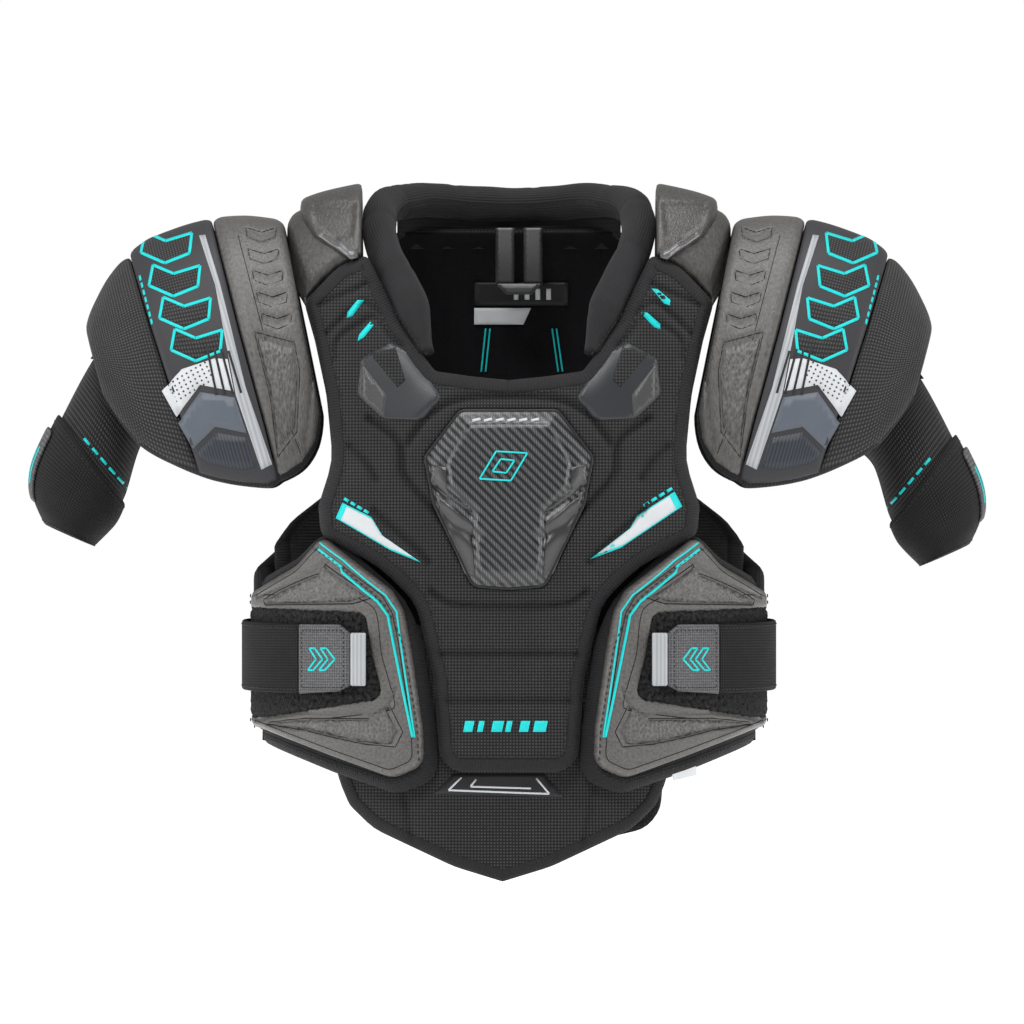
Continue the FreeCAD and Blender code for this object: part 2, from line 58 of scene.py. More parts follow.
# Trunk: height, half width, front depth, back depth, and how far each millimetre of padding moves the
# section up and out.
TRUNK = np.array(
    [
        (-370, 118, 88, 84, 0.0, 1.0),
        (-190, 118, 88, 84, 0.0, 1.0),
        (-150, 118.5, 87, 87, 0.0, 1.0),
        (-110, 119, 83, 90, 0.0, 1.0),
        (-70, 121, 74, 88, 0.05, 1.0),
        (-35, 125, 61, 79, 0.2, 0.95),
        (-10, 124, 48, 67, 0.5, 0.85),
        (5, 114, 38, 56, 0.8, 0.65),
        (14, 93, 28, 45, 0.95, 0.45),
        (20, 60, 16, 30, 1.0, 0.3),
    ]
)
ROUNDNESS = 2.4
WIDEST_ROW = -35.0
WRAP = 2.2  # millimetres round the trunk for one degree
YOKE_LOW = -40.0
YOKE_REACH = 60.0

# Shoulder cap: ridge x and z, lower edge x and z, half depth.
CAP_STATIONS = np.array(
    [
        (124.5, 17, 101, -100, 74),
        (145, 19.5, 111, -126, 79),
        (167, 17.5, 123, -130, 82),
        (187, 11.5, 147, -131, 82),
        (205.5, 2, 170, -124, 79),
        (222, -16, 196, -112, 72),
        (234, -40, 222, -82, 62),
    ],
    float,
)
CAP_THICK = 12.0
CAP_PITCH = 20.0  # millimetres of the layout for one station
CAP_ARC = 1.35  # millimetres of the layout for one degree
OVAL = 2.3
CAP_OVERRUN = 1.06

# Arm guard: outer edge x and z, inner edge x and z, half depth.
BICEP_STATIONS = np.array(
    [
        (225, -53, 190, -96, 37),
        (234, -67.5, 203, -108, 39),
        (246, -90, 211, -134, 41),
        (258, -116, 219, -148, 42),
        (260, -134, 228, -158, 40),
    ],
    float,
)
BICEP_STRAP_STATIONS = np.array(
    [
        (247, -91, 213, -138, 41.5),
        (259, -117, 218.5, -149, 42.3),
        (261, -136, 228, -159, 40.3),
        (254, -152, 231, -162, 36),
    ],
    float,
)
ARM_PITCH = 18.0
ARM_ARC = 0.6
BICEP_SHIFT = {"left": (0.0, 0.0), "right": (-2.0, -11.0)}
FORM_ROUNDS = 3
PER_STATION = 2**FORM_ROUNDS


def doubled(rows, before, after):
    """Rows with a smooth row between each two. Before and after lead in and out of them."""
    padded = np.vstack([before, rows, after])
    made = np.empty((2 * len(rows) - 1, rows.shape[1]))
    made[0::2] = rows
    made[1::2] = (9 * (padded[1:-2] + padded[2:-1]) - (padded[:-3] + padded[3:])) / 16
    return made


def refined(rows, rounds):
    """Rows with smooth rows put between them, as many times as asked."""
    for _ in range(rounds):
        rows = doubled(rows, 2 * rows[0] - rows[1], 2 * rows[-1] - rows[-2])
    return rows


def trunk_rows():
    """The trunk's rows, doubled above its straight part."""
    rows = TRUNK[1:]
    for _ in range(FORM_ROUNDS):
        first = rows[0].copy()
        first[0] = 2 * rows[0][0] - rows[1][0]
        rows = doubled(rows, first, rows[-1])
    return np.vstack([TRUNK[:1], rows])


ROWS = trunk_rows()
CAP_ROWS = refined(CAP_STATIONS, FORM_ROUNDS)
BICEP_ROWS = refined(BICEP_STATIONS, FORM_ROUNDS)
BICEP_STRAP_ROWS = refined(BICEP_STRAP_STATIONS, FORM_ROUNDS)


def signed_power(value, power):
    return np.sign(value) * np.abs(value) ** power


def trunk_dims(z, out):
    """Half width, front depth and back depth of the trunk at these heights with that much padding."""
    out = np.broadcast_to(out, z.shape)
    heights = ROWS[:, 0] + ROWS[:, 4] * out[:, None]
    i = np.clip((heights <= z[:, None]).sum(1) - 1, 0, len(ROWS) - 2)
    n = np.arange(len(z))
    low, high = heights[n, i], heights[n, i + 1]
    share = np.clip((z - low) / (high - low), 0, 1)[:, None]
    row = ROWS[i] * (1 - share) + ROWS[i + 1] * share
    wide = row[:, 5] * out
    return row[:, 1] + wide, row[:, 2] + wide, row[:, 3] + wide


def round_off(x, half):
    """How much of the full depth is left this far from the middle."""
    return (1 - np.clip(np.abs(x) / half, 0, 1) ** ROUNDNESS) ** (1 / ROUNDNESS)


def trunk_front(p, out):
    half, front = trunk_dims(p[:, 1], out)[:2]
    return np.column_stack([p[:, 0], -front * round_off(p[:, 0], half), p[:, 1]])


def trunk_back(p, out):
    half, _, rear = trunk_dims(p[:, 1], out)
    return np.column_stack([p[:, 0], rear * round_off(p[:, 0], half), p[:, 1]])


def trunk_wrap(p, out):
    """The trunk's +X side laid out as (millimetres from the side towards the front, height)."""
    half, front, rear = trunk_dims(p[:, 1], out)
    angle = np.radians(p[:, 0] / WRAP)
    x = half * signed_power(np.cos(angle), 2 / ROUNDNESS)
    y = np.where(angle > 0, -front, rear) * np.abs(np.sin(angle)) ** (2 / ROUNDNESS)
    return np.column_stack([x, y, p[:, 1]])


def wrapped(points, out):
    """Front-view points of the +X side in the layout of trunk_wrap."""
    points = np.asarray(points, float)
    half = trunk_dims(points[:, 1], out)[0]
    angle = np.arccos(np.clip(points[:, 0] / half, 0, 1) ** (ROUNDNESS / 2))
    return np.column_stack([np.degrees(angle) * WRAP, points[:, 1]])


def ridge_height(x, out):
    """Height of the shoulder line at these distances from the middle."""
    upper = ROWS[ROWS[:, 0] >= WIDEST_ROW]
    out = np.broadcast_to(out, x.shape)
    halves = upper[:, 1] + upper[:, 5] * out[:, None]
    heights = upper[:, 0] + upper[:, 4] * out[:, None]
    i = np.clip((halves >= x[:, None]).sum(1) - 1, 0, len(upper) - 2)
    n = np.arange(len(x))
    share = np.clip((halves[n, i] - x) / (halves[n, i] - halves[n, i + 1]), 0, 1)
    return heights[n, i] * (1 - share) + heights[n, i + 1] * share


def yoke(p, out):
    """The shoulder's top laid out as (x, millimetres from the shoulder line, front negative)."""
    out = np.broadcast_to(out, p[:, 0].shape)
    top = ridge_height(p[:, 0], out)
    z = top - (top - YOKE_LOW) * np.clip(np.abs(p[:, 1]) / YOKE_REACH, 0, 1) ** ROUNDNESS
    flat = np.column_stack([p[:, 0], z])
    return np.where(p[:, 1:] < 0, trunk_front(flat, out), trunk_back(flat, out))


def on_yoke(points, out):
    """Front-view points of the +X side on the front half of the yoke's layout."""
    points = np.asarray(points, float)
    top = ridge_height(points[:, 0], out)
    share = np.clip((top - points[:, 1]) / (top - YOKE_LOW), 0, 1)
    return np.column_stack([points[:, 0], -YOKE_REACH * share ** (1 / ROUNDNESS)])


def rows_at(rows, where):
    """Rows at fractional indices of the unrefined stations."""
    at = np.clip(where * PER_STATION, 0, len(rows) - 1.001)
    i = at.astype(int)
    share = (at - i)[:, None]
    return rows[i] * (1 - share) + rows[i + 1] * share


def fan_index(points, rows):
    """Which station line, as a fractional index, each front-view point lies on."""
    start, end = rows[:, 0:2], rows[:, 2:4]
    along = end - start
    away = points[:, None, :] - start[None]
    turn = along[None, :, 0] * away[:, :, 1] - along[None, :, 1] * away[:, :, 0]
    turn /= np.hypot(*along.T)
    first = np.sign(turn[:, :1])
    i = np.clip((np.cumsum(np.sign(turn) != first, 1) == 0).sum(1) - 1, 0, len(rows) - 2)
    n = np.arange(len(points))
    low, high = turn[n, i], turn[n, i + 1]
    share = np.clip(low / (low - high + 1e-12), 0, 1)
    inwards = np.sign(turn[:, 0]) == np.sign(turn[:, 0] - turn[:, 1])
    return np.where(inwards, (i + share) / PER_STATION, 0.0)


def cap(p, out):
    """The shoulder cap laid out as (across the stations, round the section with the front negative)."""
    out = np.broadcast_to(out, p[:, 0].shape)
    row = rows_at(CAP_ROWS, p[:, 0] / CAP_PITCH)
    down = (row[:, 2:4] - row[:, 0:2]) * CAP_OVERRUN
    length = np.hypot(*down.T)
    angle = np.radians(np.clip(p[:, 1] / CAP_ARC, -90, 90))
    inset = CAP_THICK - out
    y = (row[:, 4] - inset) * signed_power(np.sin(angle), 2 / OVAL)
    drop = inset + (length - inset) * (1 - np.abs(np.cos(angle)) ** (2 / OVAL))
    xz = row[:, 0:2] + down * (drop / length)[:, None]
    return np.column_stack([xz[:, 0], y, xz[:, 1]])


def on_cap(points):
    """Front-view points of the +X side on the front half of the cap's layout."""
    points = np.asarray(points, float)
    where = fan_index(points, CAP_ROWS)
    row = rows_at(CAP_ROWS, where)
    down = (row[:, 2:4] - row[:, 0:2]) * CAP_OVERRUN
    length = np.hypot(*down.T)
    drop = ((points - row[:, 0:2]) * down).sum(1) / length
    angle = np.degrees(np.arccos(np.clip(1 - drop / length, 0, 1) ** (OVAL / 2)))
    return np.column_stack([where * CAP_PITCH, -angle * CAP_ARC])


def arm_form(rows, shift):
    """An arm guard's oval tube laid out as (round the arm with the front negative, along the arm)."""

    def surface(p, out):
        row = rows_at(rows, p[:, 1] / ARM_PITCH)
        middle = (row[:, 0:2] + row[:, 2:4]) / 2 + shift
        across = (row[:, 0:2] - row[:, 2:4]) / 2
        length = np.hypot(*across.T)
        angle = np.radians(p[:, 0] / ARM_ARC)
        reach = (length + out) * signed_power(np.cos(angle), 2 / OVAL)
        y = (row[:, 4] + out) * signed_power(np.sin(angle), 2 / OVAL)
        xz = middle + across * (reach / length)[:, None]
        return np.column_stack([xz[:, 0], y, xz[:, 1]])

    return surface


def on_arm(points, rows):
    """Front-view points of the +X side on the front half of an arm guard's layout."""
    points = np.asarray(points, float)
    where = fan_index(points, rows)
    row = rows_at(rows, where)
    across = (row[:, 0:2] - row[:, 2:4]) / 2
    length = np.hypot(*across.T)
    share = ((points - (row[:, 0:2] + row[:, 2:4]) / 2) * across).sum(1) / length**2
    cosine = signed_power(np.clip(share, -1, 1), OVAL / 2)
    return np.column_stack([-np.degrees(np.arccos(cosine)) * ARM_ARC, where * ARM_PITCH])


# ---- outlines, distances and relief ----------------------------------------------------------------


def subdivided(points, step, closed=True):
    """The same corners with points between them no further apart than about step."""
    points = np.asarray(points, float)
    ends = np.roll(points, -1, 0) if closed else points[1:]
    made = []
    for a, b in zip(points, ends):
        n = max(1, int(round(np.hypot(*(b - a)) / step)))
        made.append(a + (b - a) * np.arange(n)[:, None] / n)
    if not closed:
        made.append(points[-1:])
    made = np.vstack(made)
    gap = np.hypot(*(made - np.roll(made, 1, 0)).T)
    gap[0] = gap[0] if closed else 1.0
    return made[gap > 0.05]


def rounded(points):
    """A closed outline through (x, z, corner radius)."""
    made = []
    for i, (x, z, radius) in enumerate(points):
        here = np.array((x, z), float)
        a = np.array(points[i - 1][:2], float) - here
        b = np.array(points[(i + 1) % len(points)][:2], float) - here
        long_a, long_b = np.hypot(*a), np.hypot(*b)
        a, b = a / long_a, b / long_b
        half = math.acos(np.clip(a @ b, -1, 1)) / 2
        if radius <= 0 or half > 1.56:
            made.append(here)
            continue
        reach = min(radius / math.tan(half), 0.49 * long_a, 0.49 * long_b)
        fitted = reach * math.tan(half)
        centre = here + (a + b) / np.hypot(*(a + b)) * fitted / math.sin(half)
        start, end = here + a * reach - centre, here + b * reach - centre
        first = math.atan2(start[1], start[0])
        turn = (math.atan2(end[1], end[0]) - first + math.pi) % (2 * math.pi) - math.pi
        steps = max(2, int(abs(turn) / 0.25) + 1)
        for j in range(steps + 1):
            angle = first + turn * j / steps
            made.append(centre + fitted * np.array((math.cos(angle), math.sin(angle))))
    return np.array(made)


def both_halves(points):
    return list(points) + [(-x, z, r) for x, z, r in reversed(points) if x > 0]


def smooth_line(points, rounds=3):
    """An open line through these points, rounded."""
    return refined(np.asarray(points, float), rounds)


def nearest(points, line, closed=False):
    """Distance from each point to a line, and how far along the line the nearest place is."""
    line = np.asarray(line, float)
    ends = np.roll(line, -1, 0) if closed else line[1:]
    best = np.full(len(points), 1e9)
    along = np.zeros(len(points))
    run = 0.0
    for a, b in zip(line, ends):
        step = b - a
        length = np.hypot(*step)
        if length < 1e-9:
            continue
        share = np.clip(((points - a) @ step) / length**2, 0, 1)
        gap = np.hypot(*(points - a - share[:, None] * step).T)
        closer = gap < best
        best = np.where(closer, gap, best)
        along = np.where(closer, run + share * length, along)
        run += length
    return best, along


def inside(points, outline):
    odd = np.zeros(len(points), bool)
    for (ax, az), (bx, bz) in zip(outline, np.roll(outline, -1, 0)):
        if az == bz:
            continue
        crosses = (az > points[:, 1]) != (bz > points[:, 1])
        odd ^= crosses & (points[:, 0] < ax + (points[:, 1] - az) * (bx - ax) / (bz - az))
    return odd


def depth_inside(points, outline):
    """Distance to an outline, negative outside it."""
    gap = nearest(points, outline, True)[0]
    return np.where(inside(points, outline), gap, -gap)


def ease(value):
    value = np.clip(value, 0, 1)
    return value * value * (3 - 2 * value)


def groove(points, line, width, depth):
    """A soft valley along a line."""
    gap = nearest(points, line)[0]
    return -depth * np.exp(-((gap / (0.42 * width)) ** 2))


def plateau(points, outline, rise, soft):
    """A raised or sunk area with a soft edge."""
    return rise * ease(depth_inside(points, outline) / soft + 0.5)


def waviness(points, size, seed):
    """Gentle unevenness between -1 and 1."""
    draw = np.random.default_rng(seed)
    total = np.zeros(len(points))
    for _ in range(6):
        angle = draw.uniform(0, math.pi)
        length = size * draw.uniform(0.7, 1.8)
        wave = np.array((math.cos(angle), math.sin(angle))) * 2 * math.pi / length
        total += np.sin(points @ wave + draw.uniform(0, 6.28))
    return total / 3.5


def crown(low, high, reach, power=2.0):
    """A height that rises from low at the edge to high, as a padded edge does."""

    def height(points, gap):
        share = np.clip(gap / reach, 0, 1)
        return low + (high - low) * (1 - (1 - share) ** power) ** (1 / power)

    return height


def level(value):
    return lambda points, gap: np.full(len(points), float(value))


def height_within(outline, top):
    """A top's height as a function of the points alone."""
    return lambda points: top(points, nearest(points, outline, True)[0])


def flat_height(value):
    return lambda points: np.full(len(points), float(value))


# ---- meshes ----------------------------------------------------------------------------------------

MM = 0.001
LAYOUT_SCALE = 0.1  # of the layout's millimetres in the UV map
FAR_FROM_EDGE = 10.0


def outward(line):
    """Unit vectors that point out of a closed anticlockwise or clockwise line."""
    tangent = np.roll(line, -2, 0) - np.roll(line, 2, 0)
    normal = np.column_stack([tangent[:, 1], -tangent[:, 0]])
    normal /= np.hypot(*normal.T)[:, None] + 1e-12
    area = (line[:, 0] * np.roll(line[:, 1], -1) - line[:, 1] * np.roll(line[:, 0], -1)).sum()
    return normal if area > 0 else -normal


def filled(rim, spacing, rings=()):
    """Points and triangles covering a closed rim, and where the rim's own points ended up."""
    low, high = rim.min(0), rim.max(0)
    xs = np.arange(low[0], high[0] + spacing, spacing)
    zs = np.arange(low[1], high[1] + spacing, spacing * 0.866)
    grid_x, grid_z = np.meshgrid(xs, zs)
    grid_x[1::2] += spacing / 2
    grid = np.column_stack([grid_x.ravel(), grid_z.ravel()])
    grid = grid[inside(grid, rim)]
    reach = max(rings) if rings else 0.0
    points = [rim, grid[nearest(grid, rim, True)[0] > reach + spacing * 0.55]]
    normal = outward(rim)
    for ring in rings:
        candidates = rim - normal * ring
        good = (nearest(candidates, rim, True)[0] > 0.93 * ring) & inside(candidates, rim)
        points.append(candidates[good])
    points = np.vstack(points)
    found = delaunay_2d_cdt([Vector(p) for p in points], [], [list(range(len(rim)))], 1, 1e-5)
    places = np.array([(v.x, v.y) for v in found[0]])
    where = np.full(len(rim), -1)
    for i, sources in enumerate(found[3]):
        for source in sources:
            if source < len(rim):
                where[source] = i
    return places, [tuple(f) for f in found[2]], where[where >= 0]


def mesh_object(name, points, faces, uv, edge, finish, outside=True):
    """A smooth-shaded object from millimetre points, with a layout and an edge distance per point."""
    mesh = bpy.data.meshes.new(name)
    mesh.from_pydata((np.asarray(points) * MM).tolist(), [], faces)
    if outside:
        work = bmesh.new()
        work.from_mesh(mesh)
        bmesh.ops.recalc_face_normals(work, faces=work.faces)
        work.to_mesh(mesh)
        work.free()
    loops = np.zeros(len(mesh.loops), int)
    mesh.loops.foreach_get("vertex_index", loops)
    layout = mesh.uv_layers.new(name="layout")
    layout.data.foreach_set("uv", (np.asarray(uv)[loops] * LAYOUT_SCALE).astype(np.float32).ravel())
    attribute = mesh.attributes.new("edge", "FLOAT", "POINT")
    attribute.data.foreach_set("value", np.asarray(edge, np.float32))
    mesh.polygons.foreach_set("use_smooth", np.ones(len(mesh.polygons), bool))
    mesh.materials.append(finish)
    made = bpy.data.objects.new(name, mesh)
    bpy.context.scene.collection.objects.link(made)
    return made


def sided(points, side):
    return points * np.array((side, 1, 1))


def shell(name, surface, outline, top, bottom, finish, side=1, spacing=2.2, rings=(0.5, 1.4, 2.8), under=7.0):
    """A closed piece between a top and a bottom height over an outline on a form."""
    rim = subdivided(outline, spacing)
    upper, upper_faces, upper_rim = filled(rim, spacing, rings)
    lower, lower_faces, lower_rim = filled(rim, under)
    upper_gap = nearest(upper, outline, True)[0]
    lower_gap = nearest(lower, outline, True)[0]
    over = surface(upper, top(upper, upper_gap))
    below = surface(lower, bottom(lower, lower_gap))
    count = len(upper)
    faces = upper_faces + [tuple(count + i for i in reversed(f)) for f in lower_faces]
    for i in range(len(upper_rim)):
        j = (i + 1) % len(upper_rim)
        faces.append((upper_rim[i], count + lower_rim[i], count + lower_rim[j], upper_rim[j]))
    points = sided(np.vstack([over, below]), side)
    uv = np.vstack([upper, lower])
    return mesh_object(name, points, faces, uv, np.concatenate([upper_gap, lower_gap]), finish)


def tube_faces(count, around, closed):
    """Faces round a tube of count rings, with a cap on each open end."""
    faces = []
    for i in range(count if closed else count - 1):
        j = (i + 1) % count
        for k in range(around):
            m = (k + 1) % around
            faces.append((i * around + k, i * around + m, j * around + m, j * around + k))
    if not closed:
        faces.append(tuple(range(around)))
        faces.append(tuple((count - 1) * around + k for k in range(around)))
    return faces


def swept(name, centres, outs, ups, section, finish, closed):
    """A closed section carried along a line. Each section point is (along outs, along ups)."""
    count, around = len(centres), len(section)
    points = np.concatenate([centres + outs * a + ups * b for a, b in section]).reshape(around, count, 3)
    points = points.transpose(1, 0, 2).reshape(-1, 3)
    faces = tube_faces(count, around, closed)
    run = np.concatenate([[0], np.cumsum(np.linalg.norm(np.diff(centres, axis=0), axis=1))])
    across = np.concatenate([[0], np.cumsum(np.hypot(*np.diff(np.array(section), axis=0).T))])
    uv = np.column_stack([np.repeat(run, around), np.tile(across, count)])
    return mesh_object(name, points, faces, uv, np.full(len(points), FAR_FROM_EDGE), finish)


NORMAL_SMOOTHINGS = 3
OVER_EDGE = ((0.78, 0.75), (0.4, 1.0), (0.12, 0.8))  # share of the edge's height, share of the bulge
UNDER_EDGE = ((0.4, -0.25), (0.7, 0.6))  # share of the width, rise


def binding(name, surface, outline, top, bottom, width, finish, side=1, step=1.6, bulge=1.0, lift=0.7):
    """A knitted tape folded over a padded edge, from width inside on top to under the edge."""
    rim = subdivided(outline, step)
    normal = outward(rim)
    for _ in range(NORMAL_SMOOTHINGS):
        normal = normal + 0.5 * (np.roll(normal, 1, 0) + np.roll(normal, -1, 0))
        normal /= np.hypot(*normal.T)[:, None]
    edge_top = top(rim, np.zeros(len(rim)))
    edge_low = bottom(rim, np.zeros(len(rim)))
    rows = []
    on_top = ((1.0, -0.9), (1.0, 0.05), (0.9, 0.75 * lift), (0.5, lift), (0.12, 0.8 * lift))
    for share, rise in on_top:
        inset = share * width
        here = rim - normal * inset
        rows.append(surface(here, top(here, np.full(len(rim), inset)) + rise))
    for share, reach in OVER_EDGE:
        rows.append(surface(rim + normal * bulge * reach, edge_low + (edge_top - edge_low) * share))
    for share, rise in UNDER_EDGE:
        inset = share * width
        here = rim - normal * inset
        rows.append(surface(here, bottom(here, np.full(len(rim), inset)) + rise))
    around, count = len(rows), len(rim)
    points = sided(np.stack(rows, 1).reshape(-1, 3), side)
    faces = tube_faces(count, around, True)
    run = np.concatenate([[0], np.cumsum(np.hypot(*np.diff(rim, axis=0).T))])
    across = np.array([0, 1, 2, 0.5 * width, width, width + 2, width + 4, width + 6, width + 8, width + 9])
    uv = np.column_stack([np.repeat(run, around), np.tile(across, count)])
    return mesh_object(name, points, faces, uv, np.full(len(points), FAR_FROM_EDGE), finish)


def seam_places(surface, line, height, pitch):
    """Points every pitch along a layout line, with the direction of the line and of the surface."""
    fine = subdivided(line, 0.5, closed=False)
    run = np.concatenate([[0], np.cumsum(np.hypot(*np.diff(fine, axis=0).T))])
    marks = np.arange(pitch / 2, run[-1], pitch)
    place = np.column_stack([np.interp(marks, run, fine[:, k]) for k in (0, 1)])
    ahead = np.column_stack([np.interp(marks + 0.4, run, fine[:, k]) for k in (0, 1)])
    behind = np.column_stack([np.interp(marks - 0.4, run, fine[:, k]) for k in (0, 1)])
    out = height(place)
    at = surface(place, out)
    along = surface(ahead, out) - surface(behind, out)
    up = surface(place, out + 0.5) - at
    along /= np.linalg.norm(along, axis=1)[:, None] + 1e-9
    up /= np.linalg.norm(up, axis=1)[:, None] + 1e-9
    return at, along, up


def stitches(name, surface, lines, height, finish, side=1, pitch=3.2, length=2.3, thick=0.75):
    """Rows of sewn stitches, each one a small lozenge of thread."""
    points, faces = [], []
    for line in lines:
        at, along, up = seam_places(surface, line, height, pitch)
        across = np.cross(along, up)
        for a, t, u, c in zip(at, along, up, across):
            first = len(points)
            points.append(a - t * length / 2 - u * 0.15)
            for step in (-0.28, 0.28):
                middle = a + t * length * step
                points += [
                    middle + c * thick / 2, middle + u * thick * 0.55, middle - c * thick / 2,
                    middle - u * 0.3,
                ]
            points.append(a + t * length / 2 - u * 0.15)
            for k in range(4):
                m = (k + 1) % 4
                faces.append((first, first + 1 + k, first + 1 + m))
                faces.append((first + 1 + k, first + 5 + k, first + 5 + m, first + 1 + m))
                faces.append((first + 9, first + 5 + m, first + 5 + k))
    points = sided(np.array(points), side)
    return mesh_object(name, points, faces, points[:, [0, 2]], np.full(len(points), FAR_FROM_EDGE), finish)


def decal(name, surface, outlines, height, finish, side=1, thick=0.25, spacing=2.5):
    """Printed or moulded marks a little proud of the surface under them, joined as one piece."""
    made = []
    for k, outline in enumerate(outlines):
        part = shell(
            f"{name}_{k}",
            surface,
            np.asarray(outline, float),
            lambda p, gap: height(p) + thick,
            lambda p, gap: height(p) - 0.4,
            finish,
            side=side,
            spacing=spacing,
            rings=(),
            under=spacing,
        )
        made.append(part)
    return joined(name, made)


def joined(name, objects):
    """Several objects of one finish as one."""
    if len(objects) > 1:
        with bpy.context.temp_override(active_object=objects[0], selected_editable_objects=objects):
            bpy.ops.object.join()
    objects[0].name = name
    objects[0].data.name = name
    return objects[0]


def place(piece, body, slot, nodes=(), fill=None):
    """Rides the piece on its body and hides the CAD parts it stands for. The slot and fill are not used."""
    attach(piece, body)
    if nodes:
        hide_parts(*nodes)
    return piece


CLOTH_FRAMES = 18


def settled(piece, pressure, stretch, limit):
    """Blows the piece up a little as a cloth skin over its filling, and keeps the creases."""
    rest = np.array([v.co for v in piece.data.vertices], float)
    cloth = piece.modifiers.new("cloth", "CLOTH")
    cloth.settings.quality = 5
    cloth.settings.mass = 0.25
    cloth.settings.use_pressure = True
    cloth.settings.uniform_pressure_force = pressure
    cloth.settings.shrink_min = -stretch
    cloth.settings.tension_stiffness = 25
    cloth.settings.compression_stiffness = 25
    cloth.settings.bending_stiffness = 0.4
    cloth.settings.effector_weights.gravity = 0.0
    cloth.collision_settings.use_collision = False
    scene = bpy.context.scene
    for number in range(1, CLOTH_FRAMES + 1):
        scene.frame_set(number)
    shown = piece.evaluated_get(bpy.context.evaluated_depsgraph_get())
    found = np.array([v.co for v in shown.data.vertices], float)
    piece.modifiers.remove(cloth)
    scene.frame_set(1)
    move = found - rest
    size = np.linalg.norm(move, axis=1)[:, None] + 1e-12
    move *= np.minimum(size, limit * MM) / size
    piece.data.vertices.foreach_set("co", (rest + move).astype(np.float32).ravel())
    piece.data.update()
    return piece


# ---- finishes --------------------------------------------------------------------------------------

TEAL = (0.004, 0.34, 0.34)
WHITE = (0.33, 0.34, 0.35)


def add(tree, kind, inputs=(), **settings):
    """A shader node with its settings and constant inputs."""
    node = tree.nodes.new(kind)
    for key, value in settings.items():
        setattr(node, key, value)
    for key, value in dict(inputs).items():
        node.inputs[key].default_value = value
    return node


def band_pattern(tree, layout, size, direction):
    wave = add(tree, "ShaderNodeTexWave", {"Scale": 3.14 / size}, bands_direction=direction)
    tree.links.new(layout, wave.inputs["Vector"])
    return wave.outputs["Fac"]


def combined(tree, operation, first, second):
    made = add(tree, "ShaderNodeMath", operation=operation)
    for socket, value in zip(made.inputs, (first, second)):
        if isinstance(value, float):
            socket.default_value = value
        else:
            tree.links.new(value, socket)
    return made.outputs[0]


def pattern_height(tree, layout, pattern, size):
    """The fine relief of a textile or moulded skin, from 0 to 1."""
    if pattern == "weave":
        return combined(
            tree, "MULTIPLY", band_pattern(tree, layout, size, "X"), band_pattern(tree, layout, size, "Y")
        )
    if pattern == "rib":
        return band_pattern(tree, layout, size, "X")
    if pattern == "rib_across":
        return band_pattern(tree, layout, size, "Y")
    if pattern == "twill":
        return combined(
            tree,
            "MULTIPLY",
            band_pattern(tree, layout, size, "DIAGONAL"),
            band_pattern(tree, layout, size * 0.35, "X"),
        )
    if pattern in ("pebble", "knit"):
        cells = add(
            tree, "ShaderNodeTexVoronoi", {
                "Scale": 10 / size, "Randomness": 1.0 if pattern == "pebble" else 0.2
            }
        )
        tree.links.new(layout, cells.inputs["Vector"])
        return cells.outputs["Distance"]
    grain = add(tree, "ShaderNodeTexNoise", {"Scale": 10 / size, "Detail": 4.0, "Roughness": 0.65})
    tree.links.new(layout, grain.inputs["Vector"])
    spread_out = add(tree, "ShaderNodeMapRange", {"From Min": 0.36, "From Max": 0.64})
    tree.links.new(grain.outputs["Fac"], spread_out.inputs["Value"])
    return spread_out.outputs["Result"]


SHEEN_SHARE = 0.12


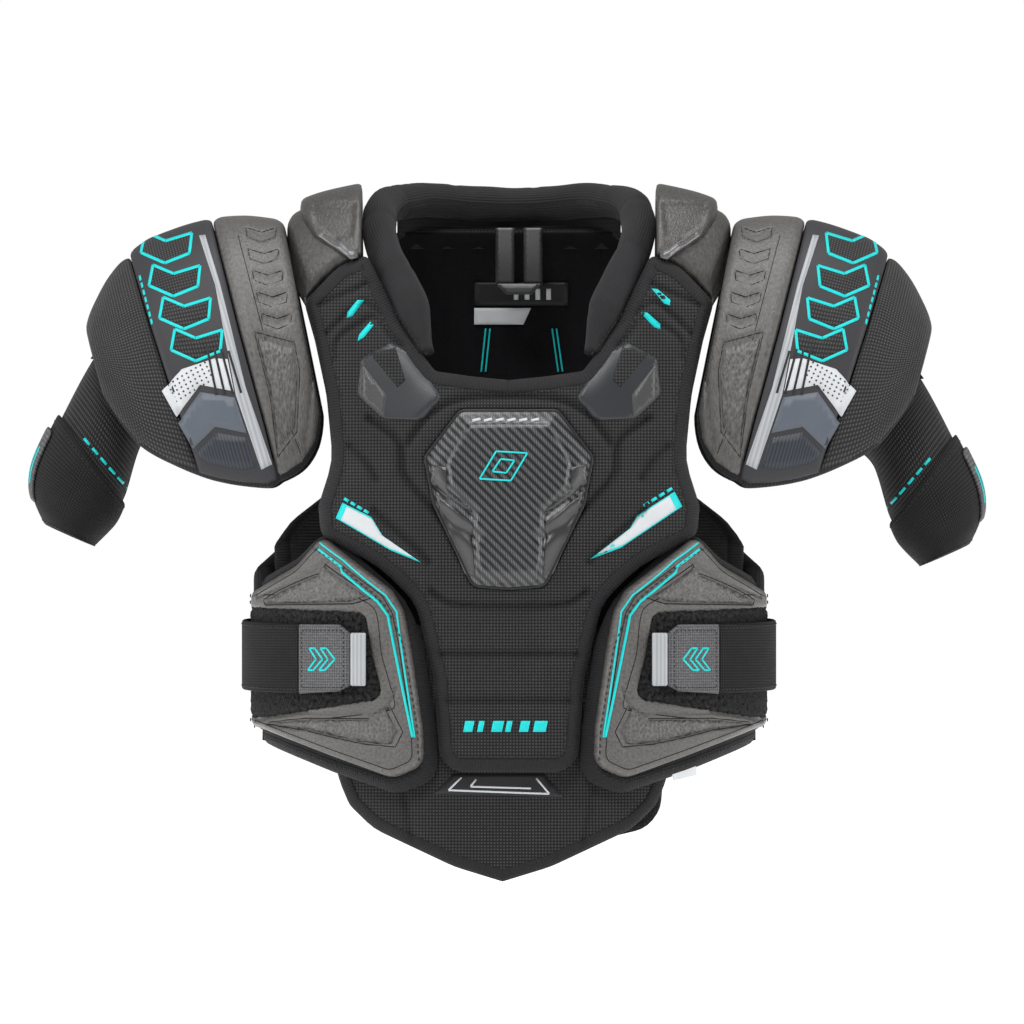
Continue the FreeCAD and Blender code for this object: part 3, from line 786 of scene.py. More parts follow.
def finish(
    name, color, rough, pattern="grain", size=1.0, depth=0.1, sheen=0.0, coat=0.0, spread=0.25, wear=0.0,
    tone_and_hollow_shade=0.0, metallic=0.0, gloss=0.16,
):
    """A procedural surface: relief, colour variation, uneven roughness and lighter edges from wear. Size and
    depth of the relief are in millimetres. The colour is darkened in the low parts of the relief by the
    given share: painted shade in the hollows of the weave, rib, grain, pebble, knit or pile, and for the
    carbon twill and the woven tab also the pattern's own two colours."""
    made = bpy.data.materials.new(name)
    made.use_nodes = True
    tree = made.node_tree
    shader = tree.nodes["Principled BSDF"]
    shader.inputs["Metallic"].default_value = metallic
    shader.inputs["Specular IOR Level"].default_value = gloss
    shader.inputs["Sheen Weight"].default_value = SHEEN_SHARE * sheen
    shader.inputs["Sheen Roughness"].default_value = 0.45
    shader.inputs["Coat Weight"].default_value = coat
    shader.inputs["Coat Roughness"].default_value = 0.25
    layout = add(tree, "ShaderNodeUVMap", uv_map="layout").outputs["UV"]
    relief = pattern_height(tree, layout, pattern, size)
    cloudy = add(tree, "ShaderNodeTexNoise", {"Scale": 0.55, "Detail": 3.0})
    fine = add(tree, "ShaderNodeTexNoise", {"Scale": 14.0, "Detail": 2.0})
    tree.links.new(layout, cloudy.inputs["Vector"])
    tree.links.new(layout, fine.inputs["Vector"])
    tint = add(tree, "ShaderNodeMixRGB", blend_type="MIX")
    tint.inputs[1].default_value = tuple(c * (1 - spread) for c in color) + (1,)
    tint.inputs[2].default_value = tuple(min(1.0, c * (1 + spread)) for c in color) + (1,)
    tree.links.new(cloudy.outputs["Fac"], tint.inputs[0])
    # painted shade: the colour is multiplied by the relief, so the low parts of the pattern come out darker
    shade = add(tree, "ShaderNodeMixRGB", blend_type="MULTIPLY")
    shade.inputs[0].default_value = tone_and_hollow_shade
    tree.links.new(tint.outputs[0], shade.inputs[1])
    tree.links.new(relief, shade.inputs[2])
    edge = add(tree, "ShaderNodeAttribute", attribute_name="edge").outputs["Fac"]
    near_edge = add(
        tree, "ShaderNodeMapRange", {"From Min": 0.0, "From Max": 5.0, "To Min": wear, "To Max": 0.0}
    )
    tree.links.new(edge, near_edge.inputs["Value"])
    wear_and_highlight = combined(tree, "MULTIPLY", near_edge.outputs["Result"], fine.outputs["Fac"])
    rubbed = add(tree, "ShaderNodeMixRGB", blend_type="MIX")
    rubbed.inputs[2].default_value = tuple(min(1.0, c * 2.2 + 0.04) for c in color) + (1,)
    tree.links.new(wear_and_highlight, rubbed.inputs[0])
    tree.links.new(shade.outputs[0], rubbed.inputs[1])
    tree.links.new(rubbed.outputs[0], shader.inputs["Base Color"])
    uneven = add(
        tree, "ShaderNodeMapRange", {
            "From Min": 0.3, "From Max": 0.7, "To Min": rough - 0.07, "To Max": min(1.0, rough + 0.07)
        }
    )
    tree.links.new(fine.outputs["Fac"], uneven.inputs["Value"])
    tree.links.new(uneven.outputs["Result"], shader.inputs["Roughness"])
    height = combined(tree, "ADD", relief, combined(tree, "MULTIPLY", fine.outputs["Fac"], 0.3))
    bump = add(tree, "ShaderNodeBump", {"Strength": 0.9, "Distance": depth * 0.001})
    tree.links.new(height, bump.inputs["Height"])
    tree.links.new(bump.outputs["Normal"], shader.inputs["Normal"])
    return made


TWILL = finish("black_twill", (0.034, 0.034, 0.035), 0.8, "weave", 1.75, 0.3, sheen=0.2, wear=0.05, tone_and_hollow_shade=0.92)
BINDING = finish("ribbed_binding", (0.010, 0.010, 0.011), 0.85, "rib", 1.5, 0.3, sheen=0.2, tone_and_hollow_shade=0.3)
PAD_RIB = finish("ribbed_pad_cover", (0.010, 0.010, 0.011), 0.82, "rib", 1.3, 0.25, sheen=0.15, tone_and_hollow_shade=0.25)
FOAM = finish(
    "grey_moulded_foam", (0.060, 0.057, 0.053), 0.44, "grain", 1.6, 0.16, wear=0.08, spread=0.25, gloss=0.4,
    tone_and_hollow_shade=0.5,
)
# painted shade: a darker copy of the grey moulded foam, for the shoulder bridges that sit low between the
# collar roll and the caps
FOAM_SHADED = finish(
    "shaded_moulded_foam", (0.036, 0.034, 0.031), 0.4, "grain", 1.6, 0.16, wear=0.06, spread=0.25, gloss=0.4,
    tone_and_hollow_shade=0.5,
)
PEBBLED = finish("pebbled_foam", (0.066, 0.062, 0.058), 0.46, "pebble", 1.7, 0.6, tone_and_hollow_shade=0.7, gloss=0.45)
CHARCOAL = finish("satin_charcoal", (0.019, 0.019, 0.021), 0.55, "grain", 0.5, 0.03, spread=0.12, gloss=0.2)
WOVEN = finish(
    "woven_charcoal", (0.046, 0.046, 0.047), 0.78, "weave", 1.5, 0.25, sheen=0.2, wear=0.04, tone_and_hollow_shade=0.85
)
LINING = finish("lining_mesh", (0.006, 0.006, 0.007), 0.9, "knit", 1.4, 0.3, sheen=0.1, tone_and_hollow_shade=0.4, gloss=0.06)
JERSEY = finish(
    "collar_jersey", (0.0095, 0.0095, 0.0105), 0.8, "rib_across", 1.6, 0.22, sheen=0.25, tone_and_hollow_shade=0.25
)
CARBON = finish(
    "carbon_plate", (0.085, 0.088, 0.092), 0.34, "twill", 2.6, 0.06, tone_and_hollow_shade=1.0, spread=0.15, gloss=0.35
)
PLATE_BLACK = finish("plate_black", (0.013, 0.013, 0.014), 0.33, "grain", 0.8, 0.03, gloss=0.45)
# painted highlight: a lighter, glossier grey for the bridge block's rounded front edge
FACET_HIGHLIGHT = finish("satin_grey_highlight", (0.048, 0.049, 0.052), 0.34, "grain", 0.5, 0.02, spread=0.15, gloss=0.55)
RIM = finish("black_rim", (0.010, 0.010, 0.011), 0.45, "grain", 0.6, 0.03)
FILM = finish("smoked_film", (0.011, 0.012, 0.014), 0.42, "grain", 0.8, 0.03, spread=0.2, gloss=0.3)
# painted highlight: a lighter copy of the smoked film for the collarbone guard's outer end
FILM_HIGHLIGHT = finish(
    "film_highlight", (0.034, 0.034, 0.035), 0.42, "knit", 1.2, 0.1, spread=0.15, gloss=0.3, tone_and_hollow_shade=0.3
)
ELASTIC = finish(
    "elastic_webbing", (0.019, 0.019, 0.020), 0.85, "weave", 1.5, 0.2, sheen=0.1, tone_and_hollow_shade=0.7, gloss=0.08
)
PILE = finish(
    "hook_and_loop", (0.020, 0.020, 0.020), 0.95, "pile", 2.2, 0.9, sheen=0.3, tone_and_hollow_shade=0.95, gloss=0.05
)
CHECK = finish("woven_tab", (0.12, 0.12, 0.125), 0.7, "knit", 1.5, 0.2, tone_and_hollow_shade=0.95)
RIBBON = finish("satin_ribbon", (0.010, 0.010, 0.011), 0.35, "rib_across", 0.5, 0.05, gloss=0.45)
LABEL = finish("printed_label", (0.42, 0.43, 0.44), 0.6, "weave", 0.6, 0.05)
TEAL_PRINT = finish("teal_print", TEAL, 0.42, "grain", 0.5, 0.02, spread=0.08)
WHITE_PRINT = finish("white_print", WHITE, 0.45, "grain", 0.5, 0.02, spread=0.06)
SILVER = finish("silver_tape", (0.24, 0.25, 0.26), 0.4, "rib", 2.2, 0.06, spread=0.1, tone_and_hollow_shade=0.25)
SLATE = finish("slate_film", (0.058, 0.066, 0.080), 0.4, "grain", 0.5, 0.02, spread=0.15)
DARK_SLATE = finish("dark_slate_film", (0.026, 0.030, 0.037), 0.45, "rib", 1.6, 0.06, tone_and_hollow_shade=0.5)
# painted shade: near-black for the thin cords laid in creases and grooves
CREASE_SHADE = finish("crease", (0.006, 0.006, 0.006), 0.8, "grain", 0.8, 0.02, gloss=0.1)
THREAD = finish("thread", (0.004, 0.004, 0.004), 0.6, "rib", 0.5, 0.05, gloss=0.3)

# ---- padding heights, in millimetres out from the trunk ----------------------------------------------

LINER = 2.5
CORE = 8.7
PANEL = 21.0
RIB_PAD = 18.0
RIB_SHELL = 24.0
STRAP_IN, STRAP_OUT, TAB_OUT = 27.4, 29.4, 30.0

NECKLINE = [(0, -73, 0), (20, -71, 40), (41, -68, 6)]
CHEST_OUTLINE = rounded(
    both_halves(
        NECKLINE
        + [
            (50, -56, 12),
            (60.5, -40, 40),
            (74.5, -12, 60),
            (78.5, -4, 3),
            (93, -10, 20),
            (111.5, -29, 6),
            (105.5, -50, 60),
            (99, -80, 80),
            (95.5, -116, 40),
            (103.5, -141, 8),
            (102, -157, 9),
            (71, -172.5, 60),
            (50, -193, 30),
            (40, -235, 60),
            (36.5, -285, 13),
            (0, -285, 0),
        ]
    )
)
STERNUM_POINTS = [(0, -88, 0), (27, -88, 6), (46.5, -114, 6), (41.5, -140, 16), (20, -185, 7), (0, -186.5, 0)]
STERNUM_OUTLINE = rounded(both_halves(STERNUM_POINTS))
PLATE_FACET = [
    (0, -96, 0), (22, -96.5, 2), (33, -117, 2), (31, -130, 4), (18, -146.5, 4), (17.5, -160, 3),
    (15.5, -183, 2), (0, -184, 0),
]
PLATE_EDGE = 20.8
PLATE_FLANKS = [
    [(42.5, -118), (42, -129), (25, -142), (20, -144.5), (20.5, -142.5), (34, -131), (33.5, -120)],
    [(40, -134), (37.5, -145), (24, -178), (18.5, -179), (20, -158), (19.5, -151), (22, -148)],
]
PLATE_SCOOPS = (((43, -129), (20, -145)), ((42, -142), (18, -158)))
CHEST_GROOVES = [
    ([(54.7, -106.7), (45, -93), (31, -84), (11, -81.5), (-11, -81.5)], 5.5, 2.4),
    ([(76, -93), (60, -105), (57.5, -121), (53, -129), (35, -149), (25, -168.5)], 5.5, 2.6),
    ([(86, -108), (77, -117), (72, -126)], 5.5, 2.0),
    ([(73, -143), (50.5, -163), (43.5, -171)], 5.5, 2.2),
    ([(42, -187), (31, -194), (12, -195.5), (-12, -195.5)], 5.0, 2.4),
    ([(45, -221.5), (-1, -221.5)], 5.0, 2.0),
    ([(43, -247), (-1, -247)], 5.0, 2.0),
]
CHEST_SEAMS = [
    [(104, -31), (81, -21), (76, -20), (63, -34), (53, -48), (45, -58)],
    [(99, -46), (84, -32), (77, -30), (63, -41)],
    [(94, -60), (93, -49), (81, -41), (73, -38), (62, -51), (48, -56)],
]
COLLARBONE_OUTLINE = rounded(
    [(81, -60, 3), (64, -51, 6), (54, -56, 8), (37, -81, 5), (45, -94, 5), (69, -93, 6), (83, -80, 4)]
)


COLLAR_WEDGE = np.array([(76, -57.5), (61, -76), (56.5, -72), (62, -54)], float)
# painted highlight on the collarbone guard's outer end
COLLAR_HIGHLIGHT = np.array([(80.5, -63), (67, -80), (68, -92), (80, -81.5)], float)


def folded(points):
    return np.column_stack([np.abs(points[:, 0]), points[:, 1]])


def chest_top(points, gap):
    """The chest panel: padded blocks between moulded grooves and stitched seams."""
    half = folded(points)
    height = crown(14.0, PANEL, 15, 2.2)(points, gap)
    relief = 0.35 * waviness(points, 45, 3)
    for line, width, depth in CHEST_GROOVES:
        relief += groove(half, smooth_line(line, 2), width, 1.5 * depth)
    for line in CHEST_SEAMS:
        relief += groove(half, smooth_line(line, 2), 4.6, 2.6)
    relief += plateau(points, STERNUM_OUTLINE, -3.0, 3.0)
    return height + relief * ease((gap - 2) / 5)


chest_height = height_within(CHEST_OUTLINE, chest_top)


def inset_line(outline, distance, step=2.0):
    """A line inside an outline, that far from it."""
    rim = subdivided(outline, step)
    line = rim - outward(rim) * distance
    return line[nearest(line, rim, True)[0] > 0.93 * distance]


def closed_line(line):
    return np.vstack([line, line[:1]])


def chest():
    panel = shell(
        "chest_panel", trunk_front, CHEST_OUTLINE, chest_top, level(CORE + 0.3), TWILL, spacing=1.6, rings=(
            0.6, 1.6, 3.0
        )
    )
    place(panel, "chest", "black_twill", ["chest_panel"], fill=0.8)
    edge = binding("chest_binding", trunk_front, CHEST_OUTLINE, chest_top, level(CORE + 0.3), 6.2, BINDING)
    place(edge, "chest", "ribbed_binding", ["chest_binding"])
    sewn = stitches(
        "chest_edge_stitches", trunk_front, [closed_line(inset_line(CHEST_OUTLINE, 7.2))], chest_height,
        THREAD,
    )
    place(sewn, "chest", "black_twill")
    # painted shade: near-black cords along the bottoms of the chest grooves
    creases = []
    for line in [moulded[0] for moulded in CHEST_GROOVES]:
        run = smooth_line(line, 2)
        creases += [run, run * (-1, 1)]
    place(shaded_creases("chest_crease_shade", trunk_front, creases, chest_height, 0.35), "chest", "black_twill")
    lines = []
    for line in CHEST_SEAMS:
        run = smooth_line(line, 2)
        lines += [run, run * (-1, 1)]
    seams = stitches(
        "chest_seam_stitches", trunk_front, lines, chest_height, THREAD, pitch=3.0, length=2.0, thick=0.6
    )
    place(seams, "chest", "black_twill")


def plate_top(points, gap):
    """The sternum plate: a thin black rim, sloping carbon sides and a raised middle facet."""
    half = folded(points)
    height = PLATE_EDGE + 3.0 * ease((gap - 1.0) / 9)
    height += plateau(points, rounded(both_halves(PLATE_FACET)), 2.0, 2.2)
    for line in PLATE_SCOOPS:
        height += groove(half, np.array(line, float), 8.0, 2.0) * ease((gap - 1) / 3)
    return height


plate_height = height_within(STERNUM_OUTLINE, plate_top)


GENERIC_MARK = [(-13, -7), (-4, 8), (13, 7), (4, -8)]
INNER_MARK = [(-6, -3), (-1.5, 3.8), (6, 3), (1.5, -3.8)]


def outline_mark(points, centre, scale, width):
    """The strokes of an angular outlined mark, one thin bar per side."""
    corners = np.asarray(points, float) * scale + np.asarray(centre, float)
    return [bar(a, b, width) for a, b in zip(corners, np.roll(corners, -1, 0))]


def bar(start, end, width, end_width=None):
    """A straight bar of a printed mark."""
    start, end = np.asarray(start, float), np.asarray(end, float)
    along = (end - start) / np.hypot(*(end - start))
    across = np.array((-along[1], along[0]))
    wide = width if end_width is None else end_width
    return [
        start + across * width / 2, end + across * wide / 2, end - across * wide / 2,
        start - across * width / 2,
    ]


def sternum():
    plate = shell(
        "sternum_plate", trunk_front, STERNUM_OUTLINE, plate_top, level(16.2), CARBON, spacing=1.2, rings=(
            0.4, 1.0, 2.0
        )
    )
    place(plate, "chest", "carbon_plate", ["sternum_plate", "sternum_foam"])
    rim = subdivided(STERNUM_OUTLINE, 1.6)
    edging = binding("sternum_rim", trunk_front, rim, plate_top, level(16.2), 1.4, RIM, lift=0.35, bulge=0.4)
    place(edging, "chest", "carbon_plate")
    scoops = []
    for side in SIDES.values():
        scoops += [np.array(flank, float) * (side, 1) for flank in PLATE_FLANKS]
    place(
        decal("sternum_scoops", trunk_front, scoops, plate_height, PLATE_BLACK, thick=0.16, spacing=1.4),
        "chest", "carbon_plate",
    )
    ticks = [bar((-20 + 6.4 * k, -94.3), (-15.6 + 6.4 * k, -93.3), 1.5) for k in range(6)]
    place(
        decal("sternum_bars", trunk_front, ticks, plate_height, WHITE_PRINT, thick=0.3), "chest",
        "carbon_plate",
    )
    middle = (-3, -119)
    mark = [part for shape in (GENERIC_MARK, INNER_MARK) for part in outline_mark(shape, middle, 1.0, 0.9)]
    place(
        decal("sternum_mark", trunk_front, mark, plate_height, TEAL_PRINT, thick=0.35), "chest",
        "carbon_plate",
    )


TEAL_BARS = {
    "left": [
        [(-83, -28), (-79, -28), (-85.6, -36.6), (-89, -38), (-88.4, -34.5)],
        [(-76, -40), (-72.6, -40), (-79.3, -48.5), (-82.8, -50.6), (-82, -47)],
    ],
    "right": [
        [(78, -21.6), (81.4, -22), (88.4, -28), (88, -31), (85, -30)],
        [(72, -35), (75.7, -35), (82.8, -41), (82.8, -44), (79.3, -43)],
    ],
}
FLASHES = {
    "left": [(-91, -139), (-75, -147), (-69, -157), (-48, -171.6), (-64.6, -165), (-94.7, -147.4)],
    "right": [(90.5, -133), (94.7, -141), (61, -163.6), (44, -170), (66, -153), (70, -146)],
}
DASHES = {"left": ((-90.5, -136.5), (-76, -145)), "right": ((73, -141), (90, -130.6))}


FILM_THICK = 0.4


def shrunk(points, share):
    middle = np.mean(points, 0)
    return middle + (np.asarray(points, float) - middle) * share


def chest_marks():
    for side in SIDES:
        bars = [np.array(p, float) for p in TEAL_BARS[side]]
        bars.append(np.array(FLASHES[side], float))
        first, last = (np.array(p) for p in DASHES[side])
        for k in range(4):
            start = first + (last - first) * (k / 4 + 0.03)
            bars.append(np.array(bar(start, start + (last - first) * 0.17, 1.6)))
        teal = decal(f"chest_teal_{side}", trunk_front, bars, chest_height, TEAL_PRINT, thick=0.2)
        place(teal, "chest", "black_twill")
        white = decal(
            f"chest_flash_{side}",
            trunk_front,
            [shrunk(FLASHES[side], 0.86)],
            chest_height,
            WHITE_PRINT,
            thick=0.35,
        )
        place(white, "chest", "black_twill")
        sign = SIDES[side]
        guard = decal(
            f"collarbone_guard_{side}", trunk_front, [COLLARBONE_OUTLINE * (sign, 1)], chest_height, FILM,
            thick=FILM_THICK,
        )
        place(guard, "chest", "smoked_film", [f"collarbone_guard_{side}"])

        def printed(points):
            return chest_height(points) + FILM_THICK

        wedge = decal(
            f"collarbone_wedge_{side}", trunk_front, [COLLAR_WEDGE * (sign, 1)], printed, TWILL, thick=0.12
        )
        place(wedge, "chest", "smoked_film")
        # painted highlight: a lighter film patch on the guard's outer end
        corner = decal(
            f"collarbone_band_{side}", trunk_front, [COLLAR_HIGHLIGHT * (sign, 1)], printed, FILM_HIGHLIGHT,
            thick=0.1,
        )
        place(corner, "chest", "smoked_film")


def tongue_mark():
    bars = []
    for k, wide in enumerate((5, 3, 6, 3, 5, 7)):
        x = -25 + 7.6 * k
        bars.append(np.array([(x, -264), (x + wide, -264), (x + wide + 1.2, -258), (x + 1.2, -258)], float))
    made = decal("tongue_mark", trunk_front, bars, chest_height, TEAL_PRINT, thick=0.2)
    place(made, "chest", "black_twill")


# ---- rib guards, straps and tape ---------------------------------------------------------------------

RIB_OUTLINE = [
    (106, -157, 5),
    (118, -169, 20),
    (142, -182, 20),
    (165, -190, 0),
    (165, -264, 0),
    (136, -272, 10),
    (100, -285.5, 60),
    (64, -297, 14),
    (42, -289, 12),
    (43, -262, 40),
    (50.5, -215, 40),
    (60, -192, 40),
    (92, -165, 30),
]
RIB_SHELL_OUTLINE = [
    (105, -158.5, 3),
    (118, -173, 16),
    (142, -187, 20),
    (162, -196, 0),
    (162, -258, 0),
    (136, -264, 10),
    (98, -278, 60),
    (65, -289.5, 12),
    (48, -282, 10),
    (48.8, -262, 40),
    (56, -215, 40),
    (59.5, -198, 12),
    (66, -187, 6),
]
LOOP_OUTLINE = [(79, -199, 6), (160, -196, 0), (160, -256, 0), (138, -257, 10), (69, -246, 6), (75, -222, 20)]
SEAT_CREASE = [
    (138, -190), (100, -188), (79, -193), (72, -201), (69.5, -222), (63, -246), (67, -252.5), (100, -257)
]
OUTER_TRIM = [(104, -161), (91, -170.5), (67.5, -189.5), (61.5, -198.5), (57.8, -225), (51.5, -267)]
INNER_TRIM = [(104, -164.5), (91.5, -174), (91, -177), (71.5, -193), (66, -200.5), (61.2, -225), (52.5, -267)]
UPPER_DIMPLES = [
    (134.5, -192), (122, -185), (105, -178), (101, -173), (75, -190.5), (86, -194), (133.5, -195)
]
LOWER_DIMPLES = [
    (134.5, -260), (111, -257), (76, -257), (66, -250), (59, -264), (63, -272), (80, -270.5), (111, -263.5)
]


def wrapped_outline(points, out, step=2.0):
    """A rounded front-view outline of the +X side, laid out round the trunk."""
    laid = wrapped(subdivided(rounded(points), step), out)
    gap = np.hypot(*(laid - np.roll(laid, 1, 0)).T)
    return laid[gap > 0.4]


def line_on_wrap(points, out):
    return wrapped(smooth_line(points, 3), out)


def rib_heights():
    """The rib guard's outlines and heights: a ribbed pad and a moulded shell on it."""
    pad = wrapped_outline(RIB_OUTLINE, RIB_PAD)
    hard = wrapped_outline(RIB_SHELL_OUTLINE, RIB_SHELL)
    upper = wrapped(np.array(UPPER_DIMPLES, float), RIB_SHELL)
    lower = wrapped(np.array(LOWER_DIMPLES, float), RIB_SHELL)
    loop_seat = wrapped_outline(LOOP_OUTLINE, RIB_SHELL)
    ridge = line_on_wrap([(99, -170), (112, -178.5), (124, -184), (139, -190.5)], RIB_SHELL)
    valley = line_on_wrap([(140, -258.5), (113.5, -254), (75.6, -254), (66, -249), (62, -240)], RIB_SHELL)

    def pad_top(points, gap):
        return crown(13.0, RIB_PAD, 9)(points, gap) + 0.25 * waviness(points, 22, 8) * ease(gap / 4)

    def shell_top(points, gap):
        height = crown(19.4, RIB_SHELL, 4.5, 2.4)(points, gap)
        height += plateau(points, upper, -1.6, 1.3) + plateau(points, lower, -1.6, 1.3)
        height += plateau(points, loop_seat, -1.6, 1.6)
        height += groove(points, ridge, 2.2, 1.5)
        return height + groove(points, valley, 2.2, 1.6)

    return pad, hard, upper, lower, pad_top, shell_top


def piping(name, surface, line, height, radius, finish_used, side):
    """A thin round cord sewn along a line."""
    fine = subdivided(line, 2.0, closed=False)
    out = height(fine)
    centres = surface(fine, out)
    along = np.gradient(centres, axis=0)
    along /= np.linalg.norm(along, axis=1)[:, None]
    up = surface(fine, out + 1.0) - centres
    up /= np.linalg.norm(up, axis=1)[:, None]
    across = np.cross(along, up)
    section = [(radius * math.cos(a), radius * math.sin(a)) for a in np.linspace(0, 2 * math.pi, 7)[:-1]]
    mirror = np.array((side, 1, 1))
    return swept(name, centres * mirror, across * mirror, up * mirror, section, finish_used, False)


def shaded_creases(name, surface, lines, height, radius, side=1):
    """Thin near-black cords along lines of a layout: painted shade in moulded creases and grooves."""
    made = []
    for k, line in enumerate(lines):
        made.append(
            piping(f"{name}_{k}", surface, line, lambda p: height(p) - 0.4 * radius, radius, CREASE_SHADE, side)
        )
    return joined(name, made)


def fuzzy(outline):
    """An outline with the ragged edge of napped tape."""
    rim = subdivided(outline, 1.3)
    return rim + outward(rim) * np.random.default_rng(7).uniform(-0.45, 0.45, (len(rim), 1))


def rib_guards():
    pad, hard, upper, lower, pad_top, shell_top = rib_heights()
    hard_height = height_within(hard, shell_top)
    pad_height = height_within(pad, pad_top)

    def border_height(points):
        return np.where(inside(points, hard), hard_height(points), pad_height(points)) + 0.1

    loop = wrapped_outline(LOOP_OUTLINE, RIB_SHELL)

    def pile_top(points, gap):
        nap = waviness(points, 2.6, 61) + waviness(points, 4.1, 62)
        return hard_height(points) + 0.5 + 1.6 * ease(gap / 2.0) + 0.22 * nap

    def pile_foot(points, gap):
        return hard_height(points) - 0.5

    seat_line = line_on_wrap(SEAT_CREASE, RIB_SHELL)
    outer_line = wrapped(OUTER_TRIM, RIB_SHELL)
    inner_line = wrapped(INNER_TRIM, RIB_SHELL)
    for side, sign in SIDES.items():
        body = "rib_guard_" + side
        cushion = shell("rib_pad_" + side, trunk_wrap, pad, pad_top, level(10.4), PAD_RIB, sign, spacing=2.2)
        place(cushion, body, "ribbed_binding", ["rib_pad_" + side], fill=0.8)
        edge = binding(
            "rib_binding_" + side, trunk_wrap, pad, pad_top, level(10.4), 7.0, BINDING, sign, bulge=1.2
        )
        place(edge, body, "ribbed_binding")
        cover = shell("rib_shell_" + side, trunk_wrap, hard, shell_top, level(17.0), FOAM, sign, spacing=1.3)
        place(cover, body, "grey_moulded_foam", ["rib_shell_" + side], fill=0.9)
        zones = decal(
            "rib_dimples_" + side, trunk_wrap, [shrunk(upper, 0.9), shrunk(lower, 0.92)], hard_height,
            PEBBLED, sign, thick=0.2,
        )
        place(zones, body, "grey_moulded_foam")
        tape = shell(
            "rib_loop_" + side, trunk_wrap, fuzzy(loop), pile_top, pile_foot, PILE, sign, spacing=1.5
        )
        place(tape, body, "hook_and_loop", ["rib_loop_patch_" + side])
        for kind, line, radius in (("outer", outer_line, 0.55), ("inner", inner_line, 0.8)):
            trim = piping(
                f"rib_piping_{kind}_{side}", trunk_wrap, line, border_height, radius, TEAL_PRINT, sign
            )
            place(trim, body, "ribbed_binding")
        run = closed_line(inset_line(pad, 4.6))
        sewn = stitches(
            "rib_stitches_" + side, trunk_wrap, [run], lambda p: border_height(p) + 0.5, THREAD, sign,
            pitch=3.6,
        )
        place(sewn, body, "ribbed_binding")
        # painted shade: near-black cords round the dimpled zones, along the seat line and inside the shell's
        # edge
        creases = [
            closed_line(shrunk(upper, 1.03)), closed_line(shrunk(lower, 1.03)), seat_line,
            closed_line(inset_line(hard, 4.2)),
        ]
        place(
            shaded_creases("rib_creases_" + side, trunk_wrap, creases, hard_height, 0.3, sign), body,
            "grey_moulded_foam",
        )


def size_tag():
    """The small woven tag sewn under the right rib guard's lower edge."""
    tag = [(88, -284), (102, -281), (103, -288), (90, -291)]
    made = shell(
        "rib_tag", trunk_front, subdivided(tag, 2), level(15.6), level(14.8), LABEL, spacing=2, under=2,
        rings=(0.5,),
    )
    place(made, "rib_guard_right", "printed_label")


def wrap_band(x_low, x_high, z_low, z_high, out, slant=0.0):
    """A strap's outline on the trunk's layout, from one front-view x to a larger one."""
    corners = wrapped(np.array([(x_low, z_low), (x_high, z_low)], float), out)
    near, far = corners[0, 0], corners[1, 0]
    return np.array([(far, z_low + slant), (near, z_low), (near, z_high), (far, z_high + slant)])


STRAP_BACK = -48.0  # millimetres behind the side line
STRAP_LOW, STRAP_HIGH = -243.5, -205.5
TAB_MARKS = [
    [(-9.5, -6), (-3.5, 0), (-8.5, 6), (-4.5, 6), (1, 0), (-5.5, -6)],
    [(-1.5, -6), (4.5, 0), (-0.5, 6), (3.5, 6), (9, 0), (2.5, -6)],
]


